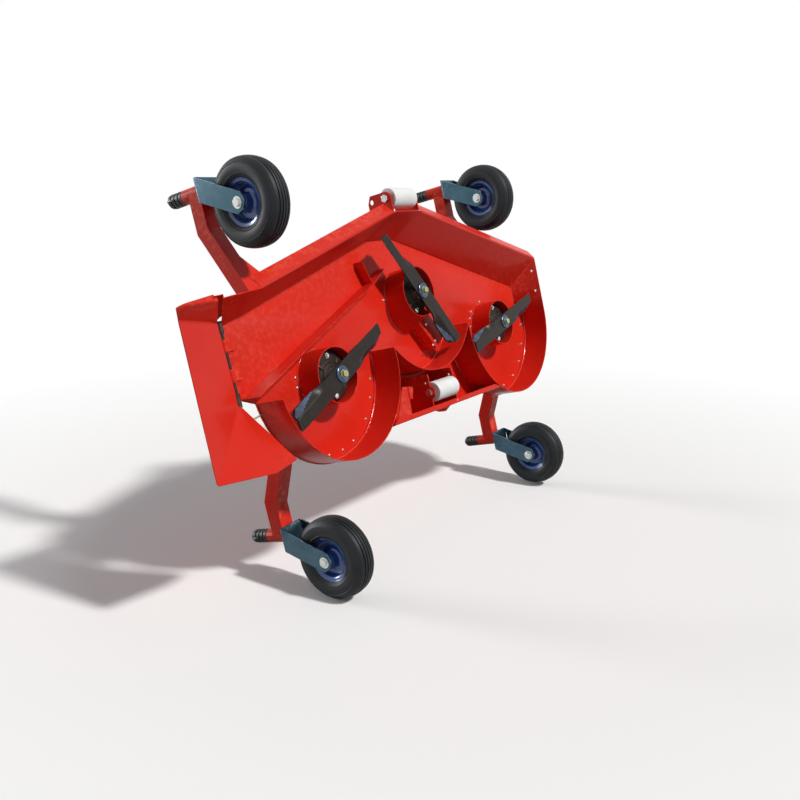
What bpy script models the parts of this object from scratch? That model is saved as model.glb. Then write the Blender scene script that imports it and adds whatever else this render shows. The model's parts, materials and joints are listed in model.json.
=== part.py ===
"""A front-mounted mower: a three-spindle deck on four caster wheels, with side discharge.

Metres, in the working position. X points to the operator's left, Y to the rear and Z up.
The sizes below are in the deck's own layout, with X = 0 on the centre spindle and Y = 0
midway between the outer spindles. One empty then carries all of it to the row frame,
whose origin is the bottom centre of the bounding box.
"""

import math
from collections import namedtuple

import bmesh
import bpy
from mathutils import Matrix, Vector

OBJECT = "front_mounted_mower"

# Clearance between pieces that touch, and between a pin and its hole
GAP = 0.0003

# Corners nearer than this are one corner
WELD_DISTANCE = 0.00001

# Sides of the round pieces, by size
WHEEL_SIDES = 20
ROUND_SIDES = 16
ROD_SIDES = 14
HOLE_SIDES = 12
HEX_SIDES = 6
CUP_SIDES = 24
BELT_SIDES = 24

# Deck sheets, and their heights above the ground
SHEET = 0.003
SKIRT_BOTTOM = 0.055
PLATE_BOTTOM = 0.165
PLATE_THICKNESS = 0.004
PLATE_LAP = 0.004
PLATE_TOP = PLATE_BOTTOM + PLATE_THICKNESS
WALL_TOP = PLATE_BOTTOM - GAP
# A leaning sheet ends lower, because the corner of its square edge stands up by this share of it
LEANING_RISE = 0.36
LEANING_TOP = WALL_TOP - LEANING_RISE * SHEET

# Blades and the spindles that carry them
BLADE_LENGTH = 0.510
BLADE_WIDTH = 0.060
BLADE_THICKNESS = 0.006
BLADE_BOTTOM = 0.062
BLADE_SLANT = 0.009
SAIL_HEIGHT = 0.018
SAIL_START = 0.090
SAIL_FULL = 0.135
SAIL_BEND = 0.008
EDGE_THICKNESS = 0.0015
EDGE_BEVEL = 0.012
CUT_OVERLAP = 0.010
TIP_CLEARANCE = 0.0194
SPINDLE_STAGGER = 0.017
SPINDLE_PITCH = BLADE_LENGTH - CUT_OVERLAP
# The centre blade runs ahead of the other two, far enough for its tips to clear theirs
CENTRE_ADVANCE = math.sqrt((BLADE_LENGTH + TIP_CLEARANCE) ** 2 - SPINDLE_PITCH**2) + SPINDLE_STAGGER
SHAFT_RADIUS = 0.0125
SHAFT_SHOULDER_RADIUS = 0.025
WASHER_RADIUS = 0.026
WASHER_THICKNESS = 0.004
BOLT_HEAD_RADIUS = 0.0145
BOLT_HEAD_HEIGHT = 0.010

# Spindle guards, the round cups welded under the plate
CUP_RADIUS = 0.0865
CUP_RIM = 0.079
CENTRE_CUP_STRETCH = 0.048

# Spindle housings: each is bolted up against the plate by a thick flange inside its guard
HOUSING_RADIUS = 0.042
HOUSING_FLANGE_ROOM = 0.0125
HOUSING_FLANGE_RADIUS = CUP_RADIUS - HOUSING_FLANGE_ROOM
HOUSING_FLANGE_THICKNESS = 0.028
HOUSING_BOTTOM = 0.100
HOUSING_CHAMFER = 0.0084

# Chamber walls: the room round each blade's tips, and how far each circle sits off its spindle
RIGHT_TIP_ROOM = 0.014
CENTRE_TIP_ROOM = 0.026
LEFT_TIP_ROOM = 0.045
RIGHT_OFFSET = (0.0, -0.005)
CENTRE_OFFSET = (-0.010, -0.004)
LEFT_OFFSET = (0.028, -0.013)
RIGHT_BAND_END = math.radians(173.5)
ARC_STEP = math.radians(9)
BLADE_YAWS = {
    "right": math.radians(-24.4),
    "centre": math.radians(54.2),
    "left": math.radians(-14.1),
}

# Anti-scalp rollers and the room at each end of them
ROLLER_RADIUS = 0.035
ROLLER_SHOULDER = 0.008
REAR_ROLLER_LENGTH = 0.122
REAR_ROLLER_ROOM = 0.0095
FRONT_ROLLER_LENGTH = 0.126
FRONT_ROLLER_ROOM = 0.0065
ROLLER_BOLT_RADIUS = 0.008
ROLLER_BOLT_HEAD_RADIUS = 0.0135
ROLLER_BOLT_HEAD = 0.008
EAR_THICKNESS = 0.005
EAR_RADIUS = 0.022
EAR_TOP_HOLE_RISE = 0.062
EAR_SPACING = FRONT_ROLLER_LENGTH + 2 * FRONT_ROLLER_ROOM + EAR_THICKNESS

# Front skirt: a V in plan with a flat nose, folded up into a lip along its bottom
FOLD_SLOPE = 0.287
NOSE_ROOM = 0.038
FOLD_APEX_Y = -(CENTRE_ADVANCE + BLADE_LENGTH / 2 + NOSE_ROOM)
NOSE_INSET = 0.002
NOSE_HALF_WIDTH = EAR_SPACING / 2 - NOSE_INSET
LIP_GAP = 0.0055
LIP_START = (EAR_SPACING + EAR_THICKNESS) / 2 + LIP_GAP
OUTLET_ROOM = 0.070
DISCHARGE_X = -(SPINDLE_PITCH + BLADE_LENGTH / 2 + OUTLET_ROOM)
SKIRT_BEND_INSET = 0.080
SKIRT_BEND_X = DISCHARGE_X + SKIRT_BEND_INSET
SKIRT_END_BACK = 0.0132
SKIRT_END_Y = FOLD_APEX_Y - FOLD_SLOPE * SKIRT_BEND_X + SKIRT_END_BACK
SKIRT_SETBACK_RIGHT = 0.058
SKIRT_SETBACK_NOSE = 0.074
SKIRT_SETBACK_LEFT = 0.096
NOSE_TOP_RIGHT_X = -0.130
NOSE_TOP_LEFT_X = 0.018
LIP_OUT = 0.036
LIP_RISE = 0.032
LEFT_LEAN = 0.053
LEFT_LEAN_LENGTH = 0.055
CORNER_RELIEF = 1.5 * SHEET

# Rear flange behind the centre band, the ribs on it and the rear roller between them
CENTRE_BAND_REAR = CENTRE_OFFSET[1] + BLADE_LENGTH / 2 + CENTRE_TIP_ROOM - CENTRE_ADVANCE
FLANGE_ROOM = 0.136
FLANGE_Y = CENTRE_BAND_REAR + FLANGE_ROOM
FLANGE_LIP = 0.030
RIB_THICKNESS = 0.005
RIB_SPACING = REAR_ROLLER_LENGTH + 2 * REAR_ROLLER_ROOM + RIB_THICKNESS
RIB_ROOM = 0.008
RIB_FRONT_Y = CENTRE_BAND_REAR + RIB_ROOM
RIB_FOOT = 0.020
RIB_FOOT_LENGTH = 0.048
REAR_ROLLER_X = -0.015
REAR_ROLLER_Y = FLANGE_Y - FLANGE_LIP - ROLLER_RADIUS
REAR_ROLLER_Z = 0.060

# Front roller, ahead of the skirt's nose
FRONT_ROLLER_REACH = 0.029
FRONT_ROLLER_Y = FOLD_APEX_Y - FRONT_ROLLER_REACH
FRONT_ROLLER_Z = 0.082

# Discharge baffle, a wall that hangs from the plate and tapers inwards: its outer end stands
# off the outlet's corner, and its other points off the centre spindle
BAFFLE_INSET = 0.010
BAFFLE_BACK = 0.005
BAFFLE_BEND = (-0.184, -0.054)
BAFFLE_END = (-0.095, -0.097)
BAFFLE_TAB = (-0.213, -0.129)
BAFFLE_DEPTH_START = 0.071
BAFFLE_DEPTH_BEND = 0.051
BAFFLE_DEPTH_END = 0.030
BAFFLE_TAB_DEPTH = 0.038

# Channel box welded under the plate behind the centre guard
CHANNEL_INSET = 0.0114
CHANNEL_ASIDE = 0.0566
CHANNEL_WAY = math.radians(54.2)
CHANNEL_LENGTH = 0.142
CHANNEL_WIDTH = 0.075
CHANNEL_DEPTH = 0.050

# Discharge chute, hinged along the open side
HINGE_OUT = 0.011
HINGE_DROP = 0.007
HINGE_FRONT_Y = -0.199
HINGE_REAR_Y = 0.043
BARREL_RADIUS = 0.008
HINGE_PIN_RADIUS = 0.005
HINGE_PIN_HEAD = 0.004
PANEL_ROOT = 0.011
CHUTE_REACH = 0.195
CHUTE_DROP = 0.067
CHUTE_FRONT_Y = -0.216
CHUTE_REAR_Y = 0.217
CHUTE_FRONT_WALL_Y = -0.253
CHUTE_FRONT_WALL_BOTTOM = 0.062
CHUTE_FRONT_WALL_RISE = 0.0134
CHUTE_FRONT_SHARE = 0.93
CHUTE_REAR_WING = (0.012, 0.238)
CHUTE_REAR_TIP = (0.100, 0.222)
KNUCKLE_LENGTH = 0.036
TONGUE_INSET = 0.002
TONGUE_THICKNESS = 0.0048
CHUTE_KNUCKLES_Y = (-0.176, 0.018)
DECK_LUGS_Y = (-0.134, -0.050)

# Caster wheels, forks and the square-tube arms
WHEEL_RADIUS = 0.130
TYRE_WIDTH = 0.085
RIM_RADIUS = 0.060
RIM_LIP = 0.0086
RIM_FLANGE_RADIUS = RIM_RADIUS + RIM_LIP
RIM_HALF_WIDTH = 0.031
RIM_WALL = 0.006
RIM_CURL = 0.003
DISC_HALF_WIDTH = 0.010
DISC_FILLET = 0.010
BEAD_INSET = 0.002
BEAD_LIFT = 0.002
BEAD_SPREAD = 0.004
HUB_RADIUS = 0.024
AXLE_RADIUS = 0.008
AXLE_HEAD_RADIUS = 0.013
AXLE_HEAD = 0.008
SHOULDER_DROP = 0.020
SHOULDER_SHARE = 0.94
BULGE_SHARE = 0.6
TREAD_SHARE = 0.62
TREAD_CROWN = 0.004
TREAD_GROOVES = 3
TREAD_GROOVE_DEPTH = 0.004
TREAD_GROOVE_WIDTH = 0.004
CARCASS = 0.009
CASTER_TRAIL = 0.075
TYRE_ROOM = 0.004
FORK_INNER_WIDTH = TYRE_WIDTH + 2 * TYRE_ROOM
FORK_PLATE = 0.006
FORK_LEG_WIDTH = 0.065
FORK_ROOM = 0.026
FORK_TOP = 2 * WHEEL_RADIUS + FORK_ROOM + FORK_PLATE
FORK_TOP_BACK = 0.002
FORK_END = 0.025
FORK_CHAMFER = 0.020
PIVOT_RADIUS = 0.0125
PIVOT_TUBE_RADIUS = 0.0225
PIVOT_TUBE_HEIGHT = 0.098
SPACER_COUNT = 4
SPACER_HEIGHT = 0.016
SPACER_DRAFT = 0.0015
PIVOT_STUB = 0.010
CLIP_WIRE = 0.0022
CLIP_TAIL_HALF = 0.00176
CLIP_DROP = 0.030
ARM_TUBE = 0.050
ARM_RISE = 0.038
ARM_AXIS = FORK_TOP + ARM_RISE
ARM_SLOPE = math.radians(27.5)
FRONT_ARM_REACH = 0.115
REAR_ARM_REACH = 0.110
FRONT_CASTER_CLEARANCE = 0.037
REAR_CASTER_CLEARANCE = 0.005
FOOT_THICKNESS = 0.006
FOOT_HALF_WIDTH = 0.037
FOOT_MARGIN = 0.012
GUSSET_WIDTH = 0.110
GUSSET_THICKNESS = 0.006
GUSSET_RUN = 0.165

# Belt drive on top of the deck
PULLEY_RISE = 0.071
PULLEY_HEIGHT = PLATE_TOP + PULLEY_RISE
PULLEY_WIDTH = 0.020
HOUSING_ROOM = 0.016
HOUSING_TOP = PULLEY_HEIGHT - PULLEY_WIDTH / 2 - HOUSING_ROOM
SHAFT_STUB = 0.006
SHAFT_TOP = PULLEY_HEIGHT + PULLEY_WIDTH / 2 + SHAFT_STUB
PULLEY_RIM = 0.076
PULLEY_ROOT = 0.063
GROOVE_ROOT_WIDTH = 0.0125
GROOVE_MOUTH_WIDTH = 0.0165
BELT_HEIGHT = 0.011
BELT_DEPTH = 0.011
IDLER_ALONG = 0.140
IDLER_PRESS = 0.055
IDLER_RADIUS = 0.035
IDLER_POST_RADIUS = 0.008
IDLER_FOOT = (0.090, 0.050, 0.006)

# Gearbox on its stand, over the centre spindle
STAND_HALF_WIDTH = 0.085
STAND_FRONT = 0.104
STAND_REAR = 0.104
STAND_PLATE = 0.006
STAND_ROOM = 0.016
STAND_TOP = PULLEY_HEIGHT + PULLEY_WIDTH / 2 + STAND_ROOM + STAND_PLATE
STAND_FLANGE = 0.030
GEARBOX_SIZE = (0.130, 0.150, 0.110)
GEARBOX_BEVEL = 0.012
INPUT_RISE = 0.058
INPUT_HEIGHT = STAND_TOP + INPUT_RISE
INPUT_RADIUS = 0.0175
INPUT_LENGTH = 0.085
INPUT_GROOVE_DEPTH = 0.0026
INPUT_GROOVE_WIDTH = 0.005
INPUT_GROOVE_BACK = 0.028
INPUT_BOSS_RADIUS = 0.040
INPUT_BOSS_LENGTH = 0.022
GEARBOX_BORE_DEPTH = 0.040

# Belt covers, open below and at the end that faces the gearbox
COVER_WALL = 0.0025
COVER_HEADROOM = 0.020
COVER_TOP = PULLEY_HEIGHT + PULLEY_WIDTH / 2 + COVER_HEADROOM
COVER_ROOM = 0.018
COVER_RADIUS = PULLEY_RIM + COVER_ROOM
COVER_INNER_X = 0.105
COVER_FRONT_REACH = 0.108
COVER_REAR_DRAW = 0.007
COVER_ARC_STEP = math.radians(15)
COVER_REAR_Y = SPINDLE_STAGGER + COVER_RADIUS - COVER_REAR_DRAW

# The caster arms' feet stand just outside the covers
ARM_ROOM = 0.00575
CASTER_X = SPINDLE_PITCH + COVER_RADIUS + COVER_WALL / 2 + ARM_ROOM + FOOT_HALF_WIDTH

# Brackets for the tractor's lift arms
HITCH_INSET = 0.285
HITCH_X = SPINDLE_PITCH - HITCH_INSET
HITCH_PLATE = 0.010
HITCH_LENGTH = 0.097
HITCH_FRONT_Y = FLANGE_Y - HITCH_LENGTH
HITCH_HEIGHT = 0.090
HITCH_EYE_RADIUS = 0.028
HITCH_PIN_RADIUS = 0.0110
HITCH_OVERHANG = 0.020
HITCH_FOOT_HALF_WIDTH = 0.035
HITCH_FOOT_THICKNESS = 0.008

Chamber = namedtuple("Chamber", "name spindle centre radius yaw")


def make_chamber(name, spindle, offset, tip_room):
    centre = Vector(spindle) + Vector(offset)
    return Chamber(name, Vector(spindle), centre, BLADE_LENGTH / 2 + tip_room, BLADE_YAWS[name])


RIGHT = make_chamber("right", (-SPINDLE_PITCH, SPINDLE_STAGGER), RIGHT_OFFSET, RIGHT_TIP_ROOM)
CENTRE = make_chamber("centre", (0.0, -CENTRE_ADVANCE), CENTRE_OFFSET, CENTRE_TIP_ROOM)
LEFT = make_chamber("left", (SPINDLE_PITCH, -SPINDLE_STAGGER), LEFT_OFFSET, LEFT_TIP_ROOM)
CHAMBERS = (RIGHT, CENTRE, LEFT)
LEFT_WALL_X = LEFT.centre.x + LEFT.radius

# The wheel's sweep round its pivot sets how far the casters stand off the deck
CASTER_SWEEP = math.hypot(CASTER_TRAIL + WHEEL_RADIUS, TYRE_WIDTH / 2)
FOLD_STRETCH = math.hypot(1.0, FOLD_SLOPE)


def rear_pivot_y(chamber):
    reach = chamber.radius + SHEET / 2 + CASTER_SWEEP + REAR_CASTER_CLEARANCE
    return chamber.centre.y + math.sqrt(reach**2 - (CASTER_X - abs(chamber.centre.x)) ** 2)


REAR_PIVOT_Y = max(rear_pivot_y(RIGHT), rear_pivot_y(LEFT))
FRONT_PIVOT_Y = (
    FOLD_APEX_Y
    + FOLD_SLOPE * CASTER_X
    - (LIP_OUT + CASTER_SWEEP + FRONT_CASTER_CLEARANCE) * FOLD_STRETCH
)
BAFFLE_START = Vector((DISCHARGE_X + BAFFLE_INSET, SPINDLE_STAGGER + BAFFLE_BACK))
HINGE_X = DISCHARGE_X - HINGE_OUT
HINGE_Z = PLATE_BOTTOM - HINGE_DROP
CENTRE_SHAFT_TOP = STAND_TOP + GEARBOX_BORE_DEPTH - GAP
WHEEL_AXLE_Z = WHEEL_RADIUS
PIVOT_TUBE_BOTTOM = FORK_TOP + GAP
PIVOT_TUBE_TOP = PIVOT_TUBE_BOTTOM + PIVOT_TUBE_HEIGHT
SPACERS_TOP = PIVOT_TUBE_TOP + GAP + SPACER_COUNT * SPACER_HEIGHT

# Where the bounding box's centre lies in the deck's own layout
BOX_LEFT_X = LEFT_WALL_X + LIP_OUT * FOLD_SLOPE / FOLD_STRETCH
BOX_RIGHT_X = HINGE_X - CHUTE_REACH
BOX_FRONT_Y = FRONT_PIVOT_Y + CASTER_TRAIL - WHEEL_RADIUS
BOX_REAR_Y = REAR_PIVOT_Y + CASTER_TRAIL + WHEEL_RADIUS
ORIGIN = Vector(((BOX_LEFT_X + BOX_RIGHT_X) / 2, (BOX_FRONT_Y + BOX_REAR_Y) / 2, 0.0))

# Turns that lay a flat outline in the YZ plane, and a turned piece along X or Y
SIDEWAYS = (math.pi / 2, 0.0, math.pi / 2)
ALONG_X = (0.0, math.pi / 2, 0.0)
ALONG_Y = (-math.pi / 2, 0.0, 0.0)


def clear_scene():
    for thing in list(bpy.data.objects):
        bpy.data.objects.remove(thing)


def make_collection(name):
    collection = bpy.data.collections.new(name)
    bpy.context.scene.collection.children.link(collection)
    return collection


clear_scene()
PARTS = make_collection(OBJECT)
CUTTERS = make_collection(OBJECT + "_cutters")
CARRIER = bpy.data.objects.new("deck_layout", None)
CARRIER.location = -ORIGIN
PARTS.objects.link(CARRIER)


def linear(channel):
    """One sRGB channel, 0 to 255, as the linear value that a material takes."""
    value = channel / 255
    return value / 12.92 if value <= 0.04045 else ((value + 0.055) / 1.055) ** 2.4


def make_material(name, srgb, roughness, metallic=0.0):
    material = bpy.data.materials.new(name)
    material.use_nodes = True
    shader = material.node_tree.nodes["Principled BSDF"]
    shader.inputs["Base Color"].default_value = [linear(c) for c in srgb] + [1.0]
    shader.inputs["Roughness"].default_value = roughness
    shader.inputs["Metallic"].default_value = metallic
    material.diffuse_color = [linear(c) for c in srgb] + [1.0]
    return material


RED_PAINT = make_material("red_paint", (212, 38, 28), 0.35)
DARK_STEEL = make_material("dark_steel", (62, 46, 38), 0.5, 0.7)
ZINC = make_material("zinc_plate", (120, 150, 165), 0.35, 1.0)
RIM_PAINT = make_material("rim_paint", (70, 92, 120), 0.4, 0.4)
TYRE_RUBBER = make_material("tyre_rubber", (28, 28, 30), 0.85)
WHITE_PLASTIC = make_material("white_plastic", (240, 242, 244), 0.5)
BLACK_PLASTIC = make_material("black_plastic", (30, 30, 32), 0.6)
CAST_IRON = make_material("cast_iron", (70, 72, 74), 0.6, 0.6)
BRIGHT_STEEL = make_material("bright_steel", (190, 190, 180), 0.3, 1.0)
BELT_RUBBER = make_material("belt_rubber", (24, 24, 24), 0.9)


def place(name, mesh, material, at=(0.0, 0.0, 0.0), turn=(0.0, 0.0, 0.0)):
    """A part's object in the deck's layout."""
    part = bpy.data.objects.new(name, mesh)
    PARTS.objects.link(part)
    part.parent = CARRIER
    part.location = at
    part.rotation_euler = turn
    if not mesh.materials:
        mesh.materials.append(material)
    return part


def mesh_from(shape, name):
    """The mesh of a bmesh, with its faces turned outwards."""
    mesh = bpy.data.meshes.new(name)
    bmesh.ops.recalc_face_normals(shape, faces=shape.faces)
    shape.to_mesh(mesh)
    shape.free()
    return mesh


def smooth(part, angle=40.0):
    part.data.shade_smooth()
    part.data.set_sharp_from_angle(angle=math.radians(angle))


def box(name, low, high, material):
    """A block between two corners, with its origin at its middle."""
    low = Vector(low)
    high = Vector(high)
    shape = bmesh.new()
    bmesh.ops.create_cube(shape, size=1.0, matrix=Matrix.Diagonal((*(high - low), 1.0)))
    return place(name, mesh_from(shape, name), material, (low + high) / 2)


def rod(name, radius, length, material, at, turn=(0.0, 0.0, 0.0), segments=ROD_SIDES):
    """A cylinder centred on its origin, along Z before it is turned."""
    shape = bmesh.new()
    bmesh.ops.create_cone(
        shape,
        cap_ends=True,
        segments=segments,
        radius1=radius,
        radius2=radius,
        depth=length,
    )
    part = place(name, mesh_from(shape, name), material, at, turn)
    smooth(part)
    return part


def turned(name, profile, material, at, turn=(0.0, 0.0, 0.0), segments=ROUND_SIDES, ring=False):
    """A profile of (radius, height) turned about Z. A ring's profile closes on itself."""
    shape = bmesh.new()
    corners = [shape.verts.new((radius, 0.0, height)) for radius, height in profile]
    edges = [shape.edges.new(pair) for pair in zip(corners, corners[1:])]
    if ring:
        edges.append(shape.edges.new((corners[-1], corners[0])))
    bmesh.ops.spin(
        shape,
        geom=corners + edges,
        cent=(0.0, 0.0, 0.0),
        axis=(0.0, 0.0, 1.0),
        angle=math.tau,
        steps=segments,
        use_merge=True,
    )
    bmesh.ops.remove_doubles(shape, verts=shape.verts, dist=WELD_DISTANCE)
    part = place(name, mesh_from(shape, name), material, at, turn)
    smooth(part)
    return part


def flat(name, outlines, thickness, material, at=(0.0, 0.0, 0.0), turn=(0.0, 0.0, 0.0)):
    """A flat piece: closed outlines in its own XY plane, the later ones holes, thick about Z."""
    curve = bpy.data.curves.new(name, "CURVE")
    curve.dimensions = "2D"
    curve.fill_mode = "BOTH"
    curve.extrude = thickness / 2
    for outline in outlines:
        spline = curve.splines.new("POLY")
        spline.points.add(len(outline) - 1)
        for corner, (x, y) in zip(spline.points, outline):
            corner.co = (x, y, 0.0, 1.0)
        spline.use_cyclic_u = True
    guide = place(name + "_outline", curve, material, at, turn)
    bpy.context.view_layer.update()
    evaluated = guide.evaluated_get(bpy.context.evaluated_depsgraph_get())
    mesh = bpy.data.meshes.new_from_object(evaluated)
    mesh.name = name
    weld(mesh)
    bpy.data.objects.remove(guide)
    bpy.data.curves.remove(curve)
    return place(name, mesh, material, at, turn)


def weld(mesh):
    """Joins a filled curve's caps to its sides."""
    shape = bmesh.new()
    shape.from_mesh(mesh)
    bmesh.ops.remove_doubles(shape, verts=shape.verts, dist=WELD_DISTANCE)
    bmesh.ops.recalc_face_normals(shape, faces=shape.faces)
    shape.to_mesh(mesh)
    shape.free()


def sheet(name, rows, material, thickness=SHEET, missing=()):
    """Sheet metal: an open surface through rows of points, thickened both ways.

    missing holds the (row, column) of each face left out.
    """
    shape = bmesh.new()
    grid = [[shape.verts.new(point) for point in row] for row in rows]
    for row, (near, far) in enumerate(zip(grid, grid[1:])):
        for column in range(len(near) - 1):
            if (row, column) not in missing:
                after = column + 1
                shape.faces.new((near[column], near[after], far[after], far[column]))
    loose = [vert for vert in shape.verts if not vert.link_faces]
    bmesh.ops.delete(shape, geom=loose, context="VERTS")
    part = place(name, mesh_from(shape, name), material)
    thicken(part, thickness)
    return part


def thicken(part, thickness):
    """Gives a surface the same thickness everywhere, half of it on each side."""
    solidify = part.modifiers.new("thickness", "SOLIDIFY")
    solidify.thickness = thickness
    solidify.offset = 0.0
    solidify.solidify_mode = "NON_MANIFOLD"
    solidify.nonmanifold_thickness_mode = "CONSTRAINTS"


def loft(name, sections, material, at=(0.0, 0.0, 0.0), turn=(0.0, 0.0, 0.0)):
    """A solid through closed sections of equal count, capped at both ends."""
    shape = bmesh.new()
    rings = [[shape.verts.new(point) for point in section] for section in sections]
    count = len(sections[0])
    for near, far in zip(rings, rings[1:]):
        for index in range(count):
            after = (index + 1) % count
            shape.faces.new((near[index], near[after], far[after], far[index]))
    shape.faces.new(rings[0])
    shape.faces.new(rings[-1])
    return place(name, mesh_from(shape, name), material, at, turn)


def ring_loft(name, sections, material):
    """A solid ring through closed sections of equal count, its last section joined to its first."""
    shape = bmesh.new()
    rings = [[shape.verts.new(point) for point in section] for section in sections]
    count = len(sections[0])
    for near, far in zip(rings, rings[1:] + rings[:1]):
        for index in range(count):
            after = (index + 1) % count
            shape.faces.new((near[index], near[after], far[after], far[index]))
    return place(name, mesh_from(shape, name), material)


def combine(part, helper, operation):
    """Joins a helper to a part, or cuts it out, and takes the helper off the list of parts."""
    PARTS.objects.unlink(helper)
    CUTTERS.objects.link(helper)
    helper.hide_render = True
    helper.display_type = "WIRE"
    boolean = part.modifiers.new(helper.name, "BOOLEAN")
    boolean.operation = operation
    boolean.solver = "EXACT"
    boolean.object = helper


def join(part, *helpers):
    for helper in helpers:
        combine(part, helper, "UNION")


def cut(part, *helpers):
    for helper in helpers:
        combine(part, helper, "DIFFERENCE")


def arc(centre, radius, start, end, step=ARC_STEP):
    """Points along an arc in plan, from one angle to the other."""
    count = max(1, math.ceil(abs(end - start) / step - 0.001))
    points = []
    for index in range(count + 1):
        angle = start + (end - start) * index / count
        points.append((centre[0] + radius * math.cos(angle), centre[1] + radius * math.sin(angle)))
    return points


def loose(radius, sides):
    """A bore's corner radius, so that even its flats clear a round piece of this radius."""
    return (radius + GAP) / math.cos(math.pi / sides)


def circle(centre, radius, segments=HOLE_SIDES):
    return arc(centre, radius, 0.0, math.tau, math.tau / segments)[:-1]


def at_height(points, height):
    return [(x, y, height) for x, y in points]


def bearing(centre, point):
    return math.atan2(point[1] - centre[1], point[0] - centre[0])


def junction(first, second):
    """The rear crossing of two chambers' wall circles, in plan."""
    span = second.centre - first.centre
    along = (first.radius**2 - second.radius**2 + span.length_squared) / (2 * span.length)
    aside = math.sqrt(first.radius**2 - along**2)
    way = span.normalized()
    return first.centre + way * along + Vector((-way.y, way.x)) * aside


def relief(first, second, point):
    """How far a wall stops before the junction, so that its corner clears the other wall."""
    turn = math.pi - (point - first.centre).angle(point - second.centre)
    return (SHEET / 2 * (1 + math.cos(turn)) + GAP) / math.sin(turn)


def fold_y(x):
    """The front skirt's bottom fold, in plan."""
    return FOLD_APEX_Y + FOLD_SLOPE * abs(x)


def skirt_fold():
    """The bottom fold from the discharge side round the nose to the left wall."""
    stations = (SKIRT_BEND_X, -LIP_START, -NOSE_HALF_WIDTH, NOSE_HALF_WIDTH, LIP_START, LEFT_WALL_X)
    return [(DISCHARGE_X, SKIRT_END_Y)] + [(x, fold_y(x)) for x in stations]


def between(first, second, share):
    return tuple(a + (b - a) * share for a, b in zip(first, second))


def skirt_top():
    """The skirt's edge under the plate, station by station with the fold."""
    fold = skirt_fold()
    nose_y = fold[3][1] + SKIRT_SETBACK_NOSE
    end = (DISCHARGE_X, SKIRT_END_Y + SKIRT_SETBACK_RIGHT + PLATE_LAP * 2)
    bend = (SKIRT_BEND_X, fold[1][1] + SKIRT_SETBACK_RIGHT)
    nose_right = (NOSE_TOP_RIGHT_X, nose_y)
    nose_left = (NOSE_TOP_LEFT_X, nose_y)
    corner = (LEFT_WALL_X - LEFT_LEAN, fold[-1][1] + SKIRT_SETBACK_LEFT)
    share = (LIP_START - NOSE_HALF_WIDTH) / (LEFT_WALL_X - NOSE_HALF_WIDTH)
    before = between(nose_right, bend, share)
    after = between(nose_left, corner, share)
    return [end, bend, before, nose_right, nose_left, after, corner]


def skirt_lip():
    """The lip's outer edge, pushed square off the fold's two straight runs."""
    run = (LIP_OUT * FOLD_SLOPE / FOLD_STRETCH, LIP_OUT / FOLD_STRETCH)
    return [(x + math.copysign(run[0], x), y - run[1]) for x, y in skirt_fold()]


def front_skirt():
    rows = (
        at_height(skirt_top(), LEANING_TOP),
        at_height(skirt_fold(), SKIRT_BOTTOM),
        at_height(skirt_lip(), SKIRT_BOTTOM + LIP_RISE),
    )
    no_lip = ((1, 0), (1, 2), (1, 3), (1, 4))
    return sheet("front_skirt", rows, RED_PAINT, missing=no_lip)


def wall(name, points):
    """A vertical wall from the skirt's bottom to the plate."""
    return sheet(name, (at_height(points, SKIRT_BOTTOM), at_height(points, WALL_TOP)), RED_PAINT)


def right_band():
    meet = junction(RIGHT, CENTRE)
    end = bearing(RIGHT.centre, meet)
    return wall("right_band", arc(RIGHT.centre, RIGHT.radius, RIGHT_BAND_END, end))


def centre_band():
    right_meet = junction(RIGHT, CENTRE)
    left_meet = junction(CENTRE, LEFT)
    start = bearing(CENTRE.centre, right_meet) - relief(RIGHT, CENTRE, right_meet) / CENTRE.radius
    end = bearing(CENTRE.centre, left_meet) + relief(CENTRE, LEFT, left_meet) / CENTRE.radius
    return wall("centre_band", arc(CENTRE.centre, CENTRE.radius, start, end))


def lean_start_y():
    return LEFT.centre.y - LEFT_LEAN_LENGTH


def left_band():
    """Round the left chamber, then forward to the corner, where it leans in with the skirt."""
    start = bearing(LEFT.centre, junction(CENTRE, LEFT)) % math.tau
    ring = arc(LEFT.centre, LEFT.radius, start, 0.0)
    fold_corner = skirt_fold()[-1]
    top_corner = skirt_top()[-1]
    bottom = ring + [(LEFT_WALL_X, lean_start_y()), (fold_corner[0], fold_corner[1] + CORNER_RELIEF)]
    lean = [(top_corner[0], lean_start_y()), (top_corner[0], top_corner[1] + CORNER_RELIEF)]
    top = at_height(ring, WALL_TOP) + at_height(lean, LEANING_TOP)
    return sheet("left_band", (at_height(bottom, SKIRT_BOTTOM), top), RED_PAINT)


def band_side(chamber, y, side):
    """Where a chamber's wall, with its thickness and a relief, crosses a line of constant Y."""
    reach = chamber.radius + SHEET / 2 + CORNER_RELIEF / 2
    return chamber.centre.x + side * math.sqrt(reach**2 - (y - chamber.centre.y) ** 2)


def rib_outline():
    """A rib's side view: a tongue below it holds the roller's bolt."""
    low = REAR_ROLLER_Z - RIB_FOOT
    back = FLANGE_Y
    half = RIB_FOOT_LENGTH / 2
    return [
        (RIB_FRONT_Y, WALL_TOP),
        (back, WALL_TOP),
        (back, SKIRT_BOTTOM),
        (REAR_ROLLER_Y + half, SKIRT_BOTTOM),
        (REAR_ROLLER_Y + half / 2, low),
        (REAR_ROLLER_Y - half / 2, low),
        (REAR_ROLLER_Y - half, SKIRT_BOTTOM),
        (RIB_FRONT_Y, SKIRT_BOTTOM),
    ]


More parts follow.
